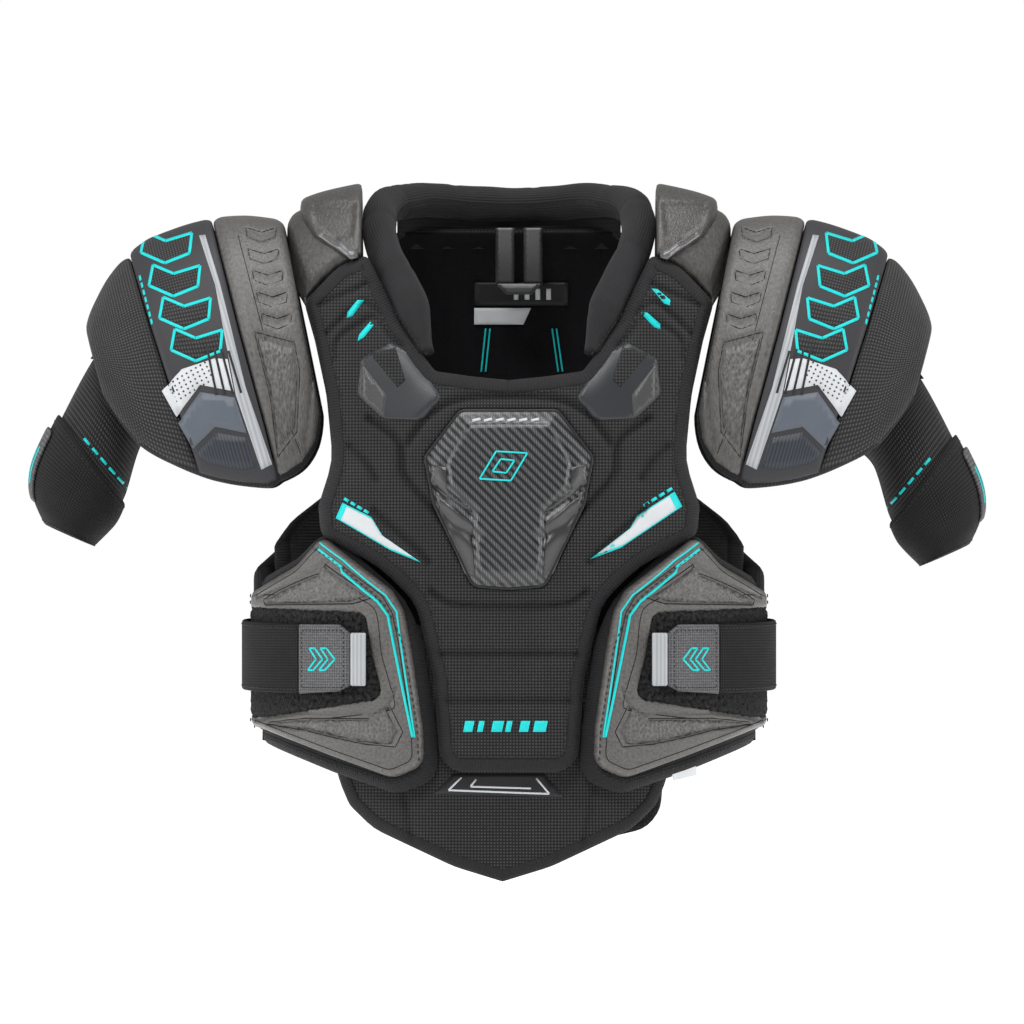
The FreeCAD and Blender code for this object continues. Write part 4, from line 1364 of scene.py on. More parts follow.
def straps():
    q_back = STRAP_BACK
    low, high = STRAP_LOW, STRAP_HIGH
    tab = wrap_band(86, 113.5, low, high, STRAP_IN)
    q_tab = tab[0, 0]
    strap = np.array([(q_back, low + 3), (q_tab - 0.4, low), (q_tab - 0.4, high), (q_back, high + 3)])
    tip = rounded([(x, z, 1) for x, z in wrap_band(77.8, 85.8, low + 4.5, high - 4.5, STRAP_IN)])
    hook = wrap_band(88, 111.5, low + 3, high - 3, STRAP_IN)
    anchor = np.array([(-125, low + 1), (-34, low + 1), (-34, high + 3), (-125, high + 3)])
    frame_line = shrunk(tab, 0.82)
    (q_in, z_low), (q_out, z_high) = tab.min(0), tab.max(0)
    tab = np.array([(q_out - 7, z_low + 1.5), (q_out, z_low + 5), (q_out, z_high - 5), (q_out - 7, z_high)])
    tab = np.vstack([[(q_in, z_low)], tab, [(q_in, z_high)]])
    middle = ((q_in + q_out) / 2, (z_low + z_high) / 2)
    mark = [part for shape in TAB_MARKS for part in outline_mark(shape, middle, 1.0, 1.0)]
    flat = flat_height(STRAP_OUT)
    on_tab = flat_height(TAB_OUT)
    for side, sign in SIDES.items():
        body, tab_body = "torso_strap_" + side, "strap_tab_" + side
        band = shell(
            "torso_strap_" + side, trunk_wrap, subdivided(strap, 4), crown(STRAP_IN + 1.2, STRAP_OUT, 1.5),
            level(STRAP_IN), ELASTIC, sign, spacing=3,
        )
        place(band, body, "elastic_webbing", ["torso_strap_" + side])
        sewn = stitches(
            "strap_edge_stitches_" + side, trunk_wrap,
            [
                [(q_back + 2, low + 5), (q_tab - 2, low + 2.2)],
                [(q_back + 2, high + 1), (q_tab - 2, high - 2.2)],
            ],
            flat, THREAD, sign,
        )
        place(sewn, body, "elastic_webbing")
        cloth = shell(
            "strap_tab_" + side, trunk_wrap, tab, crown(STRAP_IN + 1.4, TAB_OUT, 1.6), level(STRAP_IN),
            CHECK, sign, spacing=1.8,
        )
        place(cloth, tab_body, "woven_tab", ["strap_tab_" + side])
        box_seam = stitches(
            "tab_stitches_" + side, trunk_wrap, [closed_line(frame_line)], on_tab, THREAD, sign, pitch=2.6,
            length=1.9, thick=0.6,
        )
        place(box_seam, tab_body, "woven_tab")
        logo = decal("tab_mark_" + side, trunk_wrap, mark, on_tab, TEAL_PRINT, sign, thick=0.15)
        place(logo, tab_body, "woven_tab")
        pull = shell(
            "tab_pull_" + side, trunk_wrap, tip, crown(STRAP_IN + 1, STRAP_OUT + 0.3, 1.2),
            level(STRAP_IN + 0.4), SILVER, sign,
        )
        place(pull, tab_body, "woven_tab")
        tape = shell("strap_hook_" + side, trunk_wrap, hook, level(27.2), level(26.0), PILE, sign, spacing=3)
        place(tape, tab_body, "hook_and_loop", ["strap_hook_patch_" + side])
        base = shell(
            "strap_anchor_" + side, trunk_wrap, anchor, crown(24.0, 27.1, 5), level(21.1), TWILL, sign,
            spacing=3,
        )
        place(base, "back", "elastic_webbing", ["strap_anchor_" + side])


# ---- extension pad and linings -----------------------------------------------------------------------

EXTENSION_POINTS = [
    (0, -207, 0), (82, -207, 10), (91.5, -284, 40), (83, -304, 12), (70, -316.5, 30), (26, -337, 60),
    (0, -345, 0),
]
EXTENSION_OUTLINE = rounded([(x - 3.5, z, r) for x, z, r in both_halves(EXTENSION_POINTS)])
EXTENSION_SEAMS = [[(-58, -290), (-52, -326)], [(46, -290), (39, -328)]]
LINER_OUTLINE = rounded(
    both_halves(
        NECKLINE
        + [
            (52, -57, 12), (76, -16, 40), (90, -14, 10), (99, -32, 6), (92, -100, 60), (96, -150, 20),
            (86, -190, 20), (84, -282, 20), (0, -282, 0),
        ]
    )
)


def extension_top(points, gap):
    height = crown(4.6, 7.8, 12)(points, gap) + 0.3 * waviness(points, 40, 21) * ease(gap / 6)
    for line in EXTENSION_SEAMS:
        height += groove(points, np.array(line, float), 5, 1.8) * ease(gap / 5)
    return height


extension_height = height_within(EXTENSION_OUTLINE, extension_top)


def extension():
    pad = shell("extension_pad", trunk_front, EXTENSION_OUTLINE, extension_top, level(LINER + 0.3), TWILL)
    place(pad, "extension", "black_twill", ["extension_pad"], fill=0.6)
    edge = binding(
        "extension_binding", trunk_front, EXTENSION_OUTLINE, extension_top, level(LINER + 0.3), 5.5, BINDING
    )
    place(edge, "extension", "ribbed_binding")
    label = [np.array([(-30, -287), (19, -287), (30, -300), (-41, -298)], float)]
    place(
        decal("extension_label", trunk_front, label, extension_height, RIM, thick=0.35), "extension",
        "printed_label",
    )
    lines = [
        bar(a, b, 1.0)
        for a, b in (
            ((-26, -289), (-33, -296)), ((-33, -296), (22, -298)), ((22, -298), (15, -289.5)),
            ((-18, -290), (-21, -294)), ((-21, -294), (12, -295)),
        )
    ]
    place(
        decal(
            "extension_mark", trunk_front, lines, lambda p: extension_height(p) + 0.35, WHITE_PRINT,
            thick=0.2,
        ),
        "extension", "printed_label",
    )


def liners():
    front = shell(
        "chest_liner", trunk_front, LINER_OUTLINE, level(LINER), lambda p,
        g: 0.5 - 0.5 * np.cos(p[:, 0] * 0.42), LINING, spacing=5, under=2.5,
    )
    place(front, "chest", "lining_mesh", ["chest_liner"])
    core_points = [
        (0, -80, 0), (44, -75, 12), (78, -20, 20), (92, -32, 8), (86, -110, 40), (92, -150, 10),
        (55, -178, 20), (40, -190, 10), (0, -190, 0),
    ]
    core = shell(
        "chest_core_foam", trunk_front, rounded(both_halves(core_points)), crown(6.0, CORE, 6),
        level(LINER + 0.3), LINING, spacing=4,
    )
    place(core, "chest", "lining_mesh", ["chest_core_foam"], fill=0.9)


# ---- back --------------------------------------------------------------------------------------------

BACK_OUTLINE = [
    (0, 12, 0),
    (66, 12, 8),
    (79, -8, 6),
    (105, -27, 6),
    (102, -60, 60),
    (96, -105, 40),
    (97, -128, 20),
    (124, -149, 30),
    (139, -174, 20),
    (165, -190, 0),
    (165, -264, 0),
    (120, -272, 20),
    (80, -292, 20),
    (0, -296, 0),
]
BACK_LINER_POINTS = [
    (0, 11, 0),
    (64, 11, 8),
    (78, -11, 6),
    (101, -29, 6),
    (92, -105, 60),
    (98, -150, 20),
    (112, -190, 20),
    (112, -284, 10),
    (0, -290, 0),
]
SPINE_POINTS = [(0, -14, 0), (20, -14, 6), (26, -50, 30), (19, -120, 60), (24, -196, 8), (0, -200, 0)]
SCAPULA_POINTS = [
    (30, -18, 8),
    (68, -20, 12),
    (92, -44, 12),
    (88, -110, 30),
    (80, -158, 14),
    (32, -176, 12),
    (26, -120, 60),
    (33, -60, 60),
]
WING_POINTS = [
    (99, -140, 10), (122, -157, 30), (140, -174, 20), (165, -186, 0), (165, -262, 0), (112, -268, 14),
    (97, -225, 60),
]
LUMBAR_POINTS = [(0, -206, 0), (78, -204, 10), (92, -250, 60), (86, -318, 18), (0, -338, 0)]
BACK_PANEL = 12.0
WING_FRONT = 4.0  # how far behind the side line the back panel's wings end


def around_back(p, out):
    """The trunk's back laid out as (millimetres round from its middle, height)."""
    half, _, rear = trunk_dims(p[:, 1], out)
    angle = np.radians(p[:, 0] / WRAP)
    x = half * signed_power(np.sin(angle), 2 / ROUNDNESS)
    y = rear * np.abs(np.cos(angle)) ** (2 / ROUNDNESS)
    return np.column_stack([x, y, p[:, 1]])


def on_back(points, out, limit=90 - WING_FRONT):
    """A rounded back outline laid out round the back, kept off the side line."""
    flat = subdivided(rounded(points), 2.5)
    half = trunk_dims(flat[:, 1], out)[0]
    share = np.clip(np.abs(flat[:, 0]) / half, 0, 1) ** (ROUNDNESS / 2)
    angle = np.minimum(np.degrees(np.arcsin(share)), limit) * np.sign(flat[:, 0])
    laid = np.column_stack([angle * WRAP, flat[:, 1]])
    gap = np.hypot(*(laid - np.roll(laid, 1, 0)).T)
    return laid[gap > 0.4]


def quilted(low, high, reach, lines, depth, seed):
    """A padded top with sewn channels along lines of its layout."""

    def top(points, gap):
        height = crown(low, high, reach)(points, gap) + 0.3 * waviness(points, 35, seed) * ease(gap / 6)
        half = folded(points)
        for line in lines:
            height += groove(half, np.array(line, float), 5.0, depth) * ease(gap / 5)
        return height

    return top


def back():
    outline = on_back(both_halves(BACK_OUTLINE), BACK_PANEL)
    lines = [
        [(128, -185), (128, -262)], [(158, -190), (158, -262)], [(98, -150), (110, -275)],
        [(-1, -204), (100, -200)],
    ]
    top = quilted(7.0, BACK_PANEL, 9, lines, 1.8, 31)
    panel = shell("back_panel", around_back, outline, top, level(LINER + 0.3), TWILL, spacing=2.8)
    place(panel, "back", "black_twill", ["back_panel"], fill=0.7)
    edge = binding("back_binding", around_back, outline, top, level(LINER + 0.3), 6.0, BINDING)
    place(edge, "back", "ribbed_binding")
    spine = on_back(both_halves(SPINE_POINTS), 19)
    spine_lines = [[(-1, z), (30, z - 5)] for z in (-50, -86, -122, -158)]

    def spine_top(points, gap):
        height = crown(15.0, 19.0, 6, 2.4)(points, gap)
        half = folded(points)
        for line in spine_lines:
            height += groove(half, np.array(line, float), 6.0, 2.4) * ease(gap / 3)
        return height

    plate = shell("spine_plate", around_back, spine, spine_top, level(11.0), CARBON, spacing=1.8)
    place(plate, "back", "carbon_plate", ["spine_plate"])
    lumbar = on_back(both_halves(LUMBAR_POINTS), 19)
    lumbar_top = quilted(
        14.0, 19.0, 12, [[(32, -206), (36, -332)], [(-1, -248), (100, -246)], [(-1, -288), (100, -284)]],
        2.4, 33,
    )
    low_pad = shell("lumbar_pad", around_back, lumbar, lumbar_top, level(12.3), TWILL, spacing=2.4)
    place(low_pad, "back", "black_twill", ["lumbar_pad"], fill=0.8)
    place(
        binding("lumbar_binding", around_back, lumbar, lumbar_top, level(12.3), 5.5, BINDING), "back",
        "ribbed_binding",
    )
    for side, sign in SIDES.items():
        scapula = on_back([(x, z, r) for x, z, r in SCAPULA_POINTS], 17.5)
        scapula_top = quilted(13.5, 17.5, 9, [[(60, -10), (50, -180)], [(10, -92), (130, -96)]], 2.0, 35)
        pad = shell(
            "scapula_pad_" + side, around_back, scapula, scapula_top, level(11.0), FOAM, sign, spacing=2.2
        )
        place(pad, "back", "black_twill", ["scapula_pad_" + side], fill=0.8)
        wing = on_back(WING_POINTS, 21, 84)
        wing_top = quilted(17.0, 25.5, 12, [[(150, -185), (150, -265)], [(170, -185), (170, -265)]], 2.0, 37)
        puff = shell(
            "side_wing_" + side, around_back, wing, wing_top, level(11.5), PAD_RIB, sign, spacing=2.4
        )
        place(puff, "back", "black_twill", ["side_wing_" + side], fill=0.8)


def lining_marks(name, shapes, look, low):
    """Printed marks on the inside of the back lining."""
    made = []
    for k, shape in enumerate(shapes):
        outline = subdivided(shape, 2)
        made.append(
            shell(f"{name}_{k}", trunk_back, outline, level(-0.3), level(low), look, spacing=2, under=2)
        )
    return joined(name, made)


def back_lining():
    outline = rounded(both_halves(BACK_LINER_POINTS))

    def channels(points, gap):
        wave = np.abs(np.sin(points[:, 0] * math.pi / 17.0)) ** 0.5
        return 1.3 - 1.3 * wave * ease(gap / 5)

    lining = shell("back_liner", trunk_back, outline, level(LINER), channels, LINING, spacing=6, under=1.8)
    place(lining, "back", "lining_mesh", ["back_liner"], fill=0.4)
    block = [(-19.4, -16.5), (33, -16.5), (33, -29.2), (-19.4, -29.2)]
    tag = shell(
        "size_label", trunk_back, subdivided(block, 3), level(0.2), level(-0.6), RIM, spacing=3, under=3
    )
    place(tag, "back", "printed_label", ["size_label"])
    marks = [bar((4 + 6 * k, -20), (4 + 6 * k, -26), 2.6) for k in range(4)]
    marks.append([(-19.4, -30.6), (12.3, -30.6), (8, -39.7), (-19.4, -39.7)])
    place(lining_marks("label_print", marks, LABEL, -0.85), "back", "printed_label")
    lines = [
        bar((x, -42), (x + lean, -66), 0.9)
        for x, lean in ((-13, -2.5), (-10.6, -2.5), (24, 3.4), (26.4, 3.4))
    ]
    place(lining_marks("lining_teal", lines, TEAL_PRINT, -0.9), "back", "lining_mesh")


def inner_ribbon():
    """The hanger: two satin legs side by side with a turned fold at the bottom."""
    middle, spread, half_width, top, low, y = 5.5, 7.8, 5.2, 13.5, -17.5, 46.6
    made = []

    def flat(p, out):
        curl = 1.2 * np.sin(np.clip((top - p[:, 1]) / 31, 0, 1) * math.pi)
        return np.column_stack([p[:, 0], y - curl * 0.5 + out, p[:, 1]])

    for k, sign in enumerate((-1, 1)):
        x = middle + sign * spread
        leg = [(x - half_width, low), (x + half_width, low), (x + half_width, top), (x - half_width, top)]
        made.append(
            shell(
                f"ribbon_leg_{k}", flat, subdivided(leg, 2), crown(0.5, 0.8, 1), level(0.0), RIBBON,
                spacing=2, under=2, rings=(0.6,),
            )
        )
    reach = spread + half_width
    fold = [
        (middle - reach, low), (middle + reach, low), (middle + reach - 6, low - 6),
        (middle - reach + 6, low - 6),
    ]
    made.append(
        shell(
            "ribbon_fold", flat, subdivided(fold, 2), level(0.4), level(-0.8), RIBBON, spacing=2, under=2,
            rings=(0.6,),
        )
    )
    place(joined("hanger_loop", made), "hanger", "satin_ribbon", ["hanger_loop"])


# ---- shoulders ---------------------------------------------------------------------------------------

BRIDGE_EDGE = [
    (81, 60), (81, -2.5), (86, -4.5), (94, -9), (102, -16), (112, -28), (116.3, -18), (118.6, -6),
    (121, 6), (122.6, 16), (122.6, 60),
]
BLOCK_EDGE = [(81, 60), (81, -2), (86, -5.5), (96, 1), (107, 8.5), (113, 18), (115.5, 26), (115.5, 60)]
YOKE_LINER = 4.0


def both_ends(laid):
    """A closed outline from its front half, mirrored to the back."""
    laid = laid[np.concatenate([[True], np.hypot(*np.diff(laid, axis=0).T) > 0.3])]
    laid[0, 1] = laid[-1, 1] = 0.0
    closed = np.vstack([laid, laid[::-1][1:-1] * (1, -1)])
    gap = np.hypot(*(closed - np.roll(closed, 1, 0)).T)
    return closed[gap > 0.4]


def yoke_outline(points, out):
    return both_ends(on_yoke(subdivided(points, 1.2, closed=False), out))


def shoulders():
    base = yoke_outline(BRIDGE_EDGE, 12)
    block = yoke_outline(BLOCK_EDGE, 17)
    base_top = crown(10.5, 15.0, 5)
    dent = on_yoke(subdivided([(84, 26), (86, 8), (96, 6), (107, 15), (109, 26)], 2), 20)

    def block_top(points, gap):
        height = crown(16.2, 20.0, 4.0, 3.0)(points, gap)
        return height + plateau(points, dent, -1.6, 1.4)

    for side, sign in SIDES.items():
        lining = shell(
            "yoke_liner_" + side, yoke, base, level(YOKE_LINER), level(0.0), LINING, sign, spacing=3.5
        )
        place(lining, "back", "lining_mesh", ["yoke_liner_" + side])
        # the bridge and its block use the darker copy of the grey moulded foam, with shade painted in
        bridge = shell(
            "shoulder_bridge_" + side, yoke, base, base_top, level(YOKE_LINER + 0.3), FOAM_SHADED, sign,
            spacing=2,
        )
        place(bridge, "back", "grey_moulded_foam", ["shoulder_bridge_" + side], fill=0.9)
        pad = shell("bridge_block_" + side, yoke, block, block_top, level(14.5), FOAM_SHADED, sign, spacing=1.4)
        place(pad, "back", "grey_moulded_foam", ["bridge_block_" + side], fill=0.9)
        # painted highlight: a lighter, glossier strip along the block's rounded front edge, where the light
        # catches it
        facet = on_yoke(
            np.array([(83, -4.2), (87, -5), (106, 9), (104.5, 11.5), (88, 0.5), (83, -1)], float), 20
        )
        wear_and_highlight = decal(
            "bridge_facet_" + side, yoke, [facet], height_within(block, block_top), FACET_HIGHLIGHT, sign, thick=0.15
        )
        place(wear_and_highlight, "back", "grey_moulded_foam")


ROLL_PATH = [
    (46, -77, -58),
    (49, -72, -45),
    (54, -64, -28),
    (62, -52, -12),
    (68, -37, 2),
    (70.5, -20, 14),
    (69.5, 0, 23),
    (63, 24, 28),
    (48, 44, 28),
    (26, 55, 26),
    (0, 58, 25),
]
ROLL_RADIUS = 10.0


def collar():
    """One padded jersey roll from the left front, round behind the neck, to the right front."""
    half = np.array(ROLL_PATH, float)
    path = refined(np.vstack([half, half[::-1][1:] * (-1, 1, 1)]), 4)
    run = np.concatenate([[0], np.cumsum(np.linalg.norm(np.diff(path, axis=0), axis=1))])
    marks = np.linspace(0, run[-1], int(run[-1] / 2.4))
    centres = np.column_stack([np.interp(marks, run, path[:, k]) for k in range(3)])
    along = np.gradient(centres, axis=0)
    along /= np.linalg.norm(along, axis=1)[:, None]
    inward = centres * (-1, -1, 0)
    inward -= (inward * along).sum(1)[:, None] * along
    inward /= np.linalg.norm(inward, axis=1)[:, None]
    up = np.cross(along, inward)
    around = 28
    angles = np.linspace(0, 2 * math.pi, around + 1)[:-1]
    end = np.minimum(marks, run[-1] - marks)
    taper = 0.55 + 0.45 * ease(end / 30)
    creases = 1 - 0.05 * np.exp(-((np.abs((marks % 46) - 23) / 2.2) ** 2))
    points = np.empty((len(marks), around, 3))
    for k, angle in enumerate(angles):
        swell = 1 + 0.025 * np.sin(marks / 9.0 + 2 * math.cos(angle)) + 0.015 * np.sin(marks / 4.1 + angle)
        reach = (ROLL_RADIUS - 0.4) * taper * creases * swell
        points[:, k] = centres + reach[:, None] * (math.cos(angle) * inward + math.sin(angle) * up)
    faces = tube_faces(len(marks), around, False)
    uv = np.column_stack([np.repeat(marks, around), np.tile(angles * ROLL_RADIUS, len(marks))])
    roll = mesh_object(
        "collar_roll", points.reshape(-1, 3), faces, uv, np.full(len(uv), FAR_FROM_EDGE), JERSEY
    )
    roll = settled(roll, 3.0, 0.06, 1.6)
    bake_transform(roll)
    nodes = ["collar_back_roll"] + [n + s for n in ("collar_side_roll_", "collar_front_roll_") for s in SIDES]
    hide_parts(*nodes)


def collar_facing():
    """The jersey band between the roll behind the neck and the lining under it."""
    half = np.array(ROLL_PATH, float)[-4:]
    path = refined(np.vstack([half, half[::-1][1:] * (-1, 1, 1)]), 3)[::-1]
    low_z = 2.0

    def band(p, out):
        foot = trunk_back(np.column_stack([p[:, 0], np.full(len(p), low_z)]), 0.6)
        head = np.column_stack([p[:, 0]] + [np.interp(p[:, 0], path[:, 0], path[:, k]) for k in (1, 2)])
        share = ease(p[:, 1:] / 24)
        return foot + (head - foot) * share + np.column_stack([0 * out, out, 0 * out])

    outline = [(-62, 0), (62, 0), (62, 24), (-62, 24)]
    made = shell(
        "collar_facing", band, subdivided(outline, 3), level(1.5), level(-0.5), JERSEY, spacing=3, under=3
    )
    place(made, "back", "collar_jersey")


# ---- shoulder caps -----------------------------------------------------------------------------------

CAP_MOULDED = [
    (124.5, 17.1), (118.5, -13), (112.7, -42), (106.8, -71), (103.6, -90), (106, -106), (113, -117),
    (121, -122.5), (126.2, -125), (134, -95), (148, -44), (157, -9), (164, 17.7),
]
CAP_SMOOTH = [
    (164.6, 17.6), (157.5, -9), (148.5, -44), (134.5, -95), (126.7, -125.6), (132, -128.3), (145, -127.6),
    (158, -125.5), (169.3, -122.4), (184, -80), (197, -40), (209.4, -0.6),
]
CAP_WOVEN = [
    (209.9, -1), (197.6, -40), (184.6, -80), (169.9, -122), (186, -115.5), (203, -106), (216, -90),
    (225.6, -74), (229.5, -57), (234, -40.2),
]
CAP_EDGE = CAP_MOULDED[:9] + CAP_SMOOTH[5:9] + CAP_WOVEN[4:]
SUB_PANEL = [(139.6, -45), (117.5, -51), (114.5, -67), (116, -100), (126.5, -114), (131, -80)]


def cap_outline(points):
    return both_ends(on_cap(subdivided(points, 1.5, closed=False)))


def cap_panels():
    moulded, smooth, woven = (cap_outline(p) for p in (CAP_MOULDED, CAP_SMOOTH, CAP_WOVEN))
    sub_panel = on_cap(subdivided(SUB_PANEL, 3.0))
    lip = on_cap(smooth_line([(113, -30), (110, -48), (108, -67), (109, -90), (111, -104)], 2))
    marks = [on_cap(subdivided(m, 2.0)) for m in CAP_EMBOSSED]

    def moulded_top(points, gap):
        front = np.column_stack([points[:, 0], -np.abs(points[:, 1])])
        height = crown(8.0, CAP_THICK, 6)(points, gap)
        height += plateau(front, sub_panel, -0.9, 1.2) + groove(front, lip, 3.0, 1.2)
        for mark in marks:
            height += plateau(front, mark, -0.9, 0.9)
        return height

    def smooth_top(points, gap):
        return crown(10.2, CAP_THICK, 4)(points, gap) + 0.2 * waviness(points, 60, 43)

    def woven_top(points, gap):
        return crown(8.5, CAP_THICK, 8)(points, gap) + 0.25 * waviness(points, 40, 45) * ease(gap / 5)

    return (moulded, moulded_top), (smooth, smooth_top), (woven, woven_top), sub_panel


EMBOSS_PLACES = [(136, 8), (134.5, -4), (132, -16), (129.5, -28), (127, -40)]
EMBOSS_SHAPE = [(-8, 5), (0, 2.2), (9, 5), (8, -0.6), (0, -3.6), (-7.5, -0.6)]
CAP_CREASE = [(149, 8), (143.5, -12), (135, -44), (125, -82), (114, -112)]
CAP_EMBOSSED = [[(x + a, z + b) for a, b in EMBOSS_SHAPE] for x, z in EMBOSS_PLACES]
MARK_PLACES = [(188, 1), (183, -17.5), (177, -35.5), (170.5, -53)]
MARK_SHAPE = [(-13.5, 8.5), (1, 4), (12.5, 9), (14.5, -2.5), (1, -8.5), (-12.5, -3)]
CAP_MARKS = [[(x + a, z + b) for a, b in MARK_SHAPE] for x, z in MARK_PLACES]


def stroked(outlines, width):
    """Each outline as thin bars along its sides."""
    bars = []
    for outline in outlines:
        for a, b in zip(outline, outline[1:] + outline[:1]):
            bars.append(bar(a, b, width))
    return bars


def laid_on_cap(shapes):
    return [on_cap(subdivided(shape, 2.0)) for shape in shapes]


def eased_edge(points):
    """The cap's edge with its lower corners rounded; the first and last points stay."""
    return np.vstack([points[:1], smooth_line(points[1:-1], 2), points[-1:]])


def caps():
    (moulded, moulded_top), (smooth, smooth_top), (woven, woven_top), sub_panel = cap_panels()
    whole = cap_outline(eased_edge(CAP_EDGE))

    on_smooth = height_within(smooth, smooth_top)
    stripe = [
        (170.5, 8), (167, 8.4), (158.3, -19), (144, -76), (129.5, -118), (135.5, -121), (149.5, -80),
        (161, -20),
    ]
    chevron = [(190, -78), (179, -66), (161, -60), (154, -60.5), (150.5, -78), (169, -74.5), (182, -92)]
    slate = [(181, -95.5), (169, -78.5), (150, -81.5), (143.5, -101), (160.6, -97.5), (173, -109.6)]
    low = [(171.5, -112), (160.3, -100.5), (142.8, -103.6), (138.5, -119.5), (146, -121), (164.5, -117.5)]
    lines = [bar((153.5 + 4 * k, -56 + k), (146.5 + 4.5 * k, -79 - 0.3 * k), 1.3) for k in range(4)]
    dots = []
    for row in range(5):
        for column in range(9):
            x, z = 162 + 2.5 * column + 1.1 * row, -71.5 - 1.5 * column + 2.3 * row
            dots.append([(x - 0.6, z), (x, z + 0.6), (x + 0.6, z), (x, z - 0.6)])
    for side, sign in SIDES.items():
        body = "shoulder_cap_" + side
        lining = shell(
            "cap_liner_" + side, cap, whole, level(4.0), level(0.0), LINING, sign, spacing=4, under=4
        )
        place(lining, body, "lining_mesh", ["cap_liner_" + side])
        pieces = (
            ("moulded", moulded, moulded_top, FOAM, "grey_moulded_foam"),
            ("smooth", smooth, smooth_top, CHARCOAL, "satin_charcoal"),
            ("woven", woven, woven_top, WOVEN, "black_twill"),
        )
        for kind, outline, top, look, slot in pieces:
            panel = shell(f"cap_{kind}_{side}", cap, outline, top, level(4.3), look, sign, spacing=1.5)
            place(panel, body, slot, [f"cap_{kind}_panel_{side}"], fill=0.9)
        edge = binding(
            "cap_binding_" + side, cap, whole, level(8.8), level(0.2), 4.0, BINDING, sign, bulge=0.8
        )
        place(edge, body, "ribbed_binding")
        prints = (
            ("stripe", [stripe], SILVER, 0.2),
            ("chevron", [chevron], WHITE_PRINT, 0.2),
            ("slate", [slate], SLATE, 0.2),
            ("low_slate", [low], DARK_SLATE, 0.2),
            ("mark_fill", CAP_MARKS, WOVEN, 0.15),
            ("marks", stroked(CAP_MARKS, 1.5), TEAL_PRINT, 0.3),
            (
                "note",
                [
                    bar((203 - 1.1 * k, -14 - 4 * k), (202.3 - 1.1 * k, -16.6 - 4 * k), 1.2)
                    for k in range(7)
                ],
                TEAL_PRINT, 0.2,
            ),
            ("lines", lines, RIM, 0.35),
            ("dots", dots, RIM, 0.35),
        )
        for kind, shapes, look, thick in prints:
            printed = decal(
                f"cap_{kind}_{side}", cap, laid_on_cap(shapes), on_smooth, look, sign, thick=thick
            )
            place(printed, body, "satin_charcoal")
        # painted shade: near-black cords round the embossed marks and the sub-panel, and along the cap's
        # crease
        creases = [closed_line(on_cap(subdivided(m, 2.0))) for m in CAP_EMBOSSED] + [closed_line(sub_panel)]
        creases.append(on_cap(smooth_line(CAP_CREASE, 2)))
        place(
            shaded_creases("cap_creases_" + side, cap, creases, height_within(moulded, moulded_top), 0.28, sign),
            body, "grey_moulded_foam",
        )
        texture = decal(
            "cap_texture_" + side, cap, [shrunk(sub_panel, 0.88)], height_within(moulded, moulded_top),
            PEBBLED, sign, thick=0.2,
        )
        place(texture, body, "grey_moulded_foam")


# ---- arm guards --------------------------------------------------------------------------------------

ARM_BACK_END = 112 * ARM_ARC
BICEP_LINK = ((203.5, -14.5), (222, -49), (230, -60))


def arm_guards():
    pad = rounded([(-108, 1, 6), (ARM_BACK_END, 1, 6), (ARM_BACK_END, 70.5, 8), (-108, 70.5, 8)])
    strap = rounded([(-107.8, 0.5, 1), (107.8, 0.5, 1), (107.8, 53.5, 1), (-107.8, 53.5, 1)])

    def pad_top(points, gap):
        return crown(-3.5, -0.1, 9)(points, gap) + 0.25 * waviness(points, 26, 51) * ease(gap / 5)

    pad_height = height_within(pad, pad_top)
    for side, sign in SIDES.items():
        shift = np.array(BICEP_SHIFT[side])
        form = arm_form(BICEP_ROWS, shift)
        strap_form = arm_form(BICEP_STRAP_ROWS, shift)
        body = "bicep_guard_" + side
        sleeve = shell("bicep_pad_" + side, form, pad, pad_top, level(-7.9), TWILL, sign, spacing=2.2)
        place(sleeve, body, "black_twill", ["bicep_pad_" + side], fill=0.8)
        edge = binding(
            "bicep_binding_" + side, form, pad, pad_top, level(-7.9), 5.0, BINDING, sign, bulge=0.4
        )
        place(edge, body, "ribbed_binding")
        sewn = stitches(
            "bicep_stitches_" + side, form, [closed_line(inset_line(pad, 6.5))], pad_height, THREAD, sign
        )
        place(sewn, body, "black_twill")
        band = shell(
            "bicep_strap_" + side, strap_form, strap, crown(1.6, 2.3, 1.5), level(0.3), ELASTIC, sign,
            spacing=2.5,
        )
        place(band, body, "elastic_webbing", ["bicep_strap_" + side])
        hems = [[(-107, 3.0), (107, 3.0)], [(-107, 51.0), (107, 51.0)]]
        hem = stitches("bicep_strap_stitches_" + side, strap_form, hems, flat_height(2.3), THREAD, sign)
        place(hem, body, "elastic_webbing")
        arm_tab(side, sign, strap_form)
        arm_link(side, sign, shift, body)
        dashes = []
        first, last = np.array((234.0, -103.0)), np.array((206.5, -135.0))
        for k in range(6):
            start = first + (last - first) * (k / 6 + 0.02)
            dashes.append(on_arm(np.array(bar(start, start + (last - first) * 0.11, 1.5)), BICEP_ROWS))
        marks = decal("bicep_marks_" + side, form, dashes, pad_height, TEAL_PRINT, sign)
        place(marks, body, "black_twill")


def arm_tab(side, sign, strap_form):
    """The label tab on the strap's outer side."""
    tab = rounded([(-17.8, 6, 3), (17.8, 6, 3), (17.8, 40, 3), (-17.8, 40, 3)])
    cloth = shell(
        "bicep_tab_" + side, strap_form, tab, crown(3.9, 4.7, 1.2), level(2.9), CHECK, sign, spacing=2
    )
    place(cloth, "bicep_tab_" + side, "woven_tab", ["bicep_tab_" + side])
    lines = [bar((-12 + 6 * k, 13), (-12 + 6 * k, 30), 2.2) for k in range(5)]
    marks = decal("bicep_tab_mark_" + side, strap_form, lines, flat_height(4.7), TEAL_PRINT, sign, thick=0.15)
    place(marks, "bicep_tab_" + side, "woven_tab")


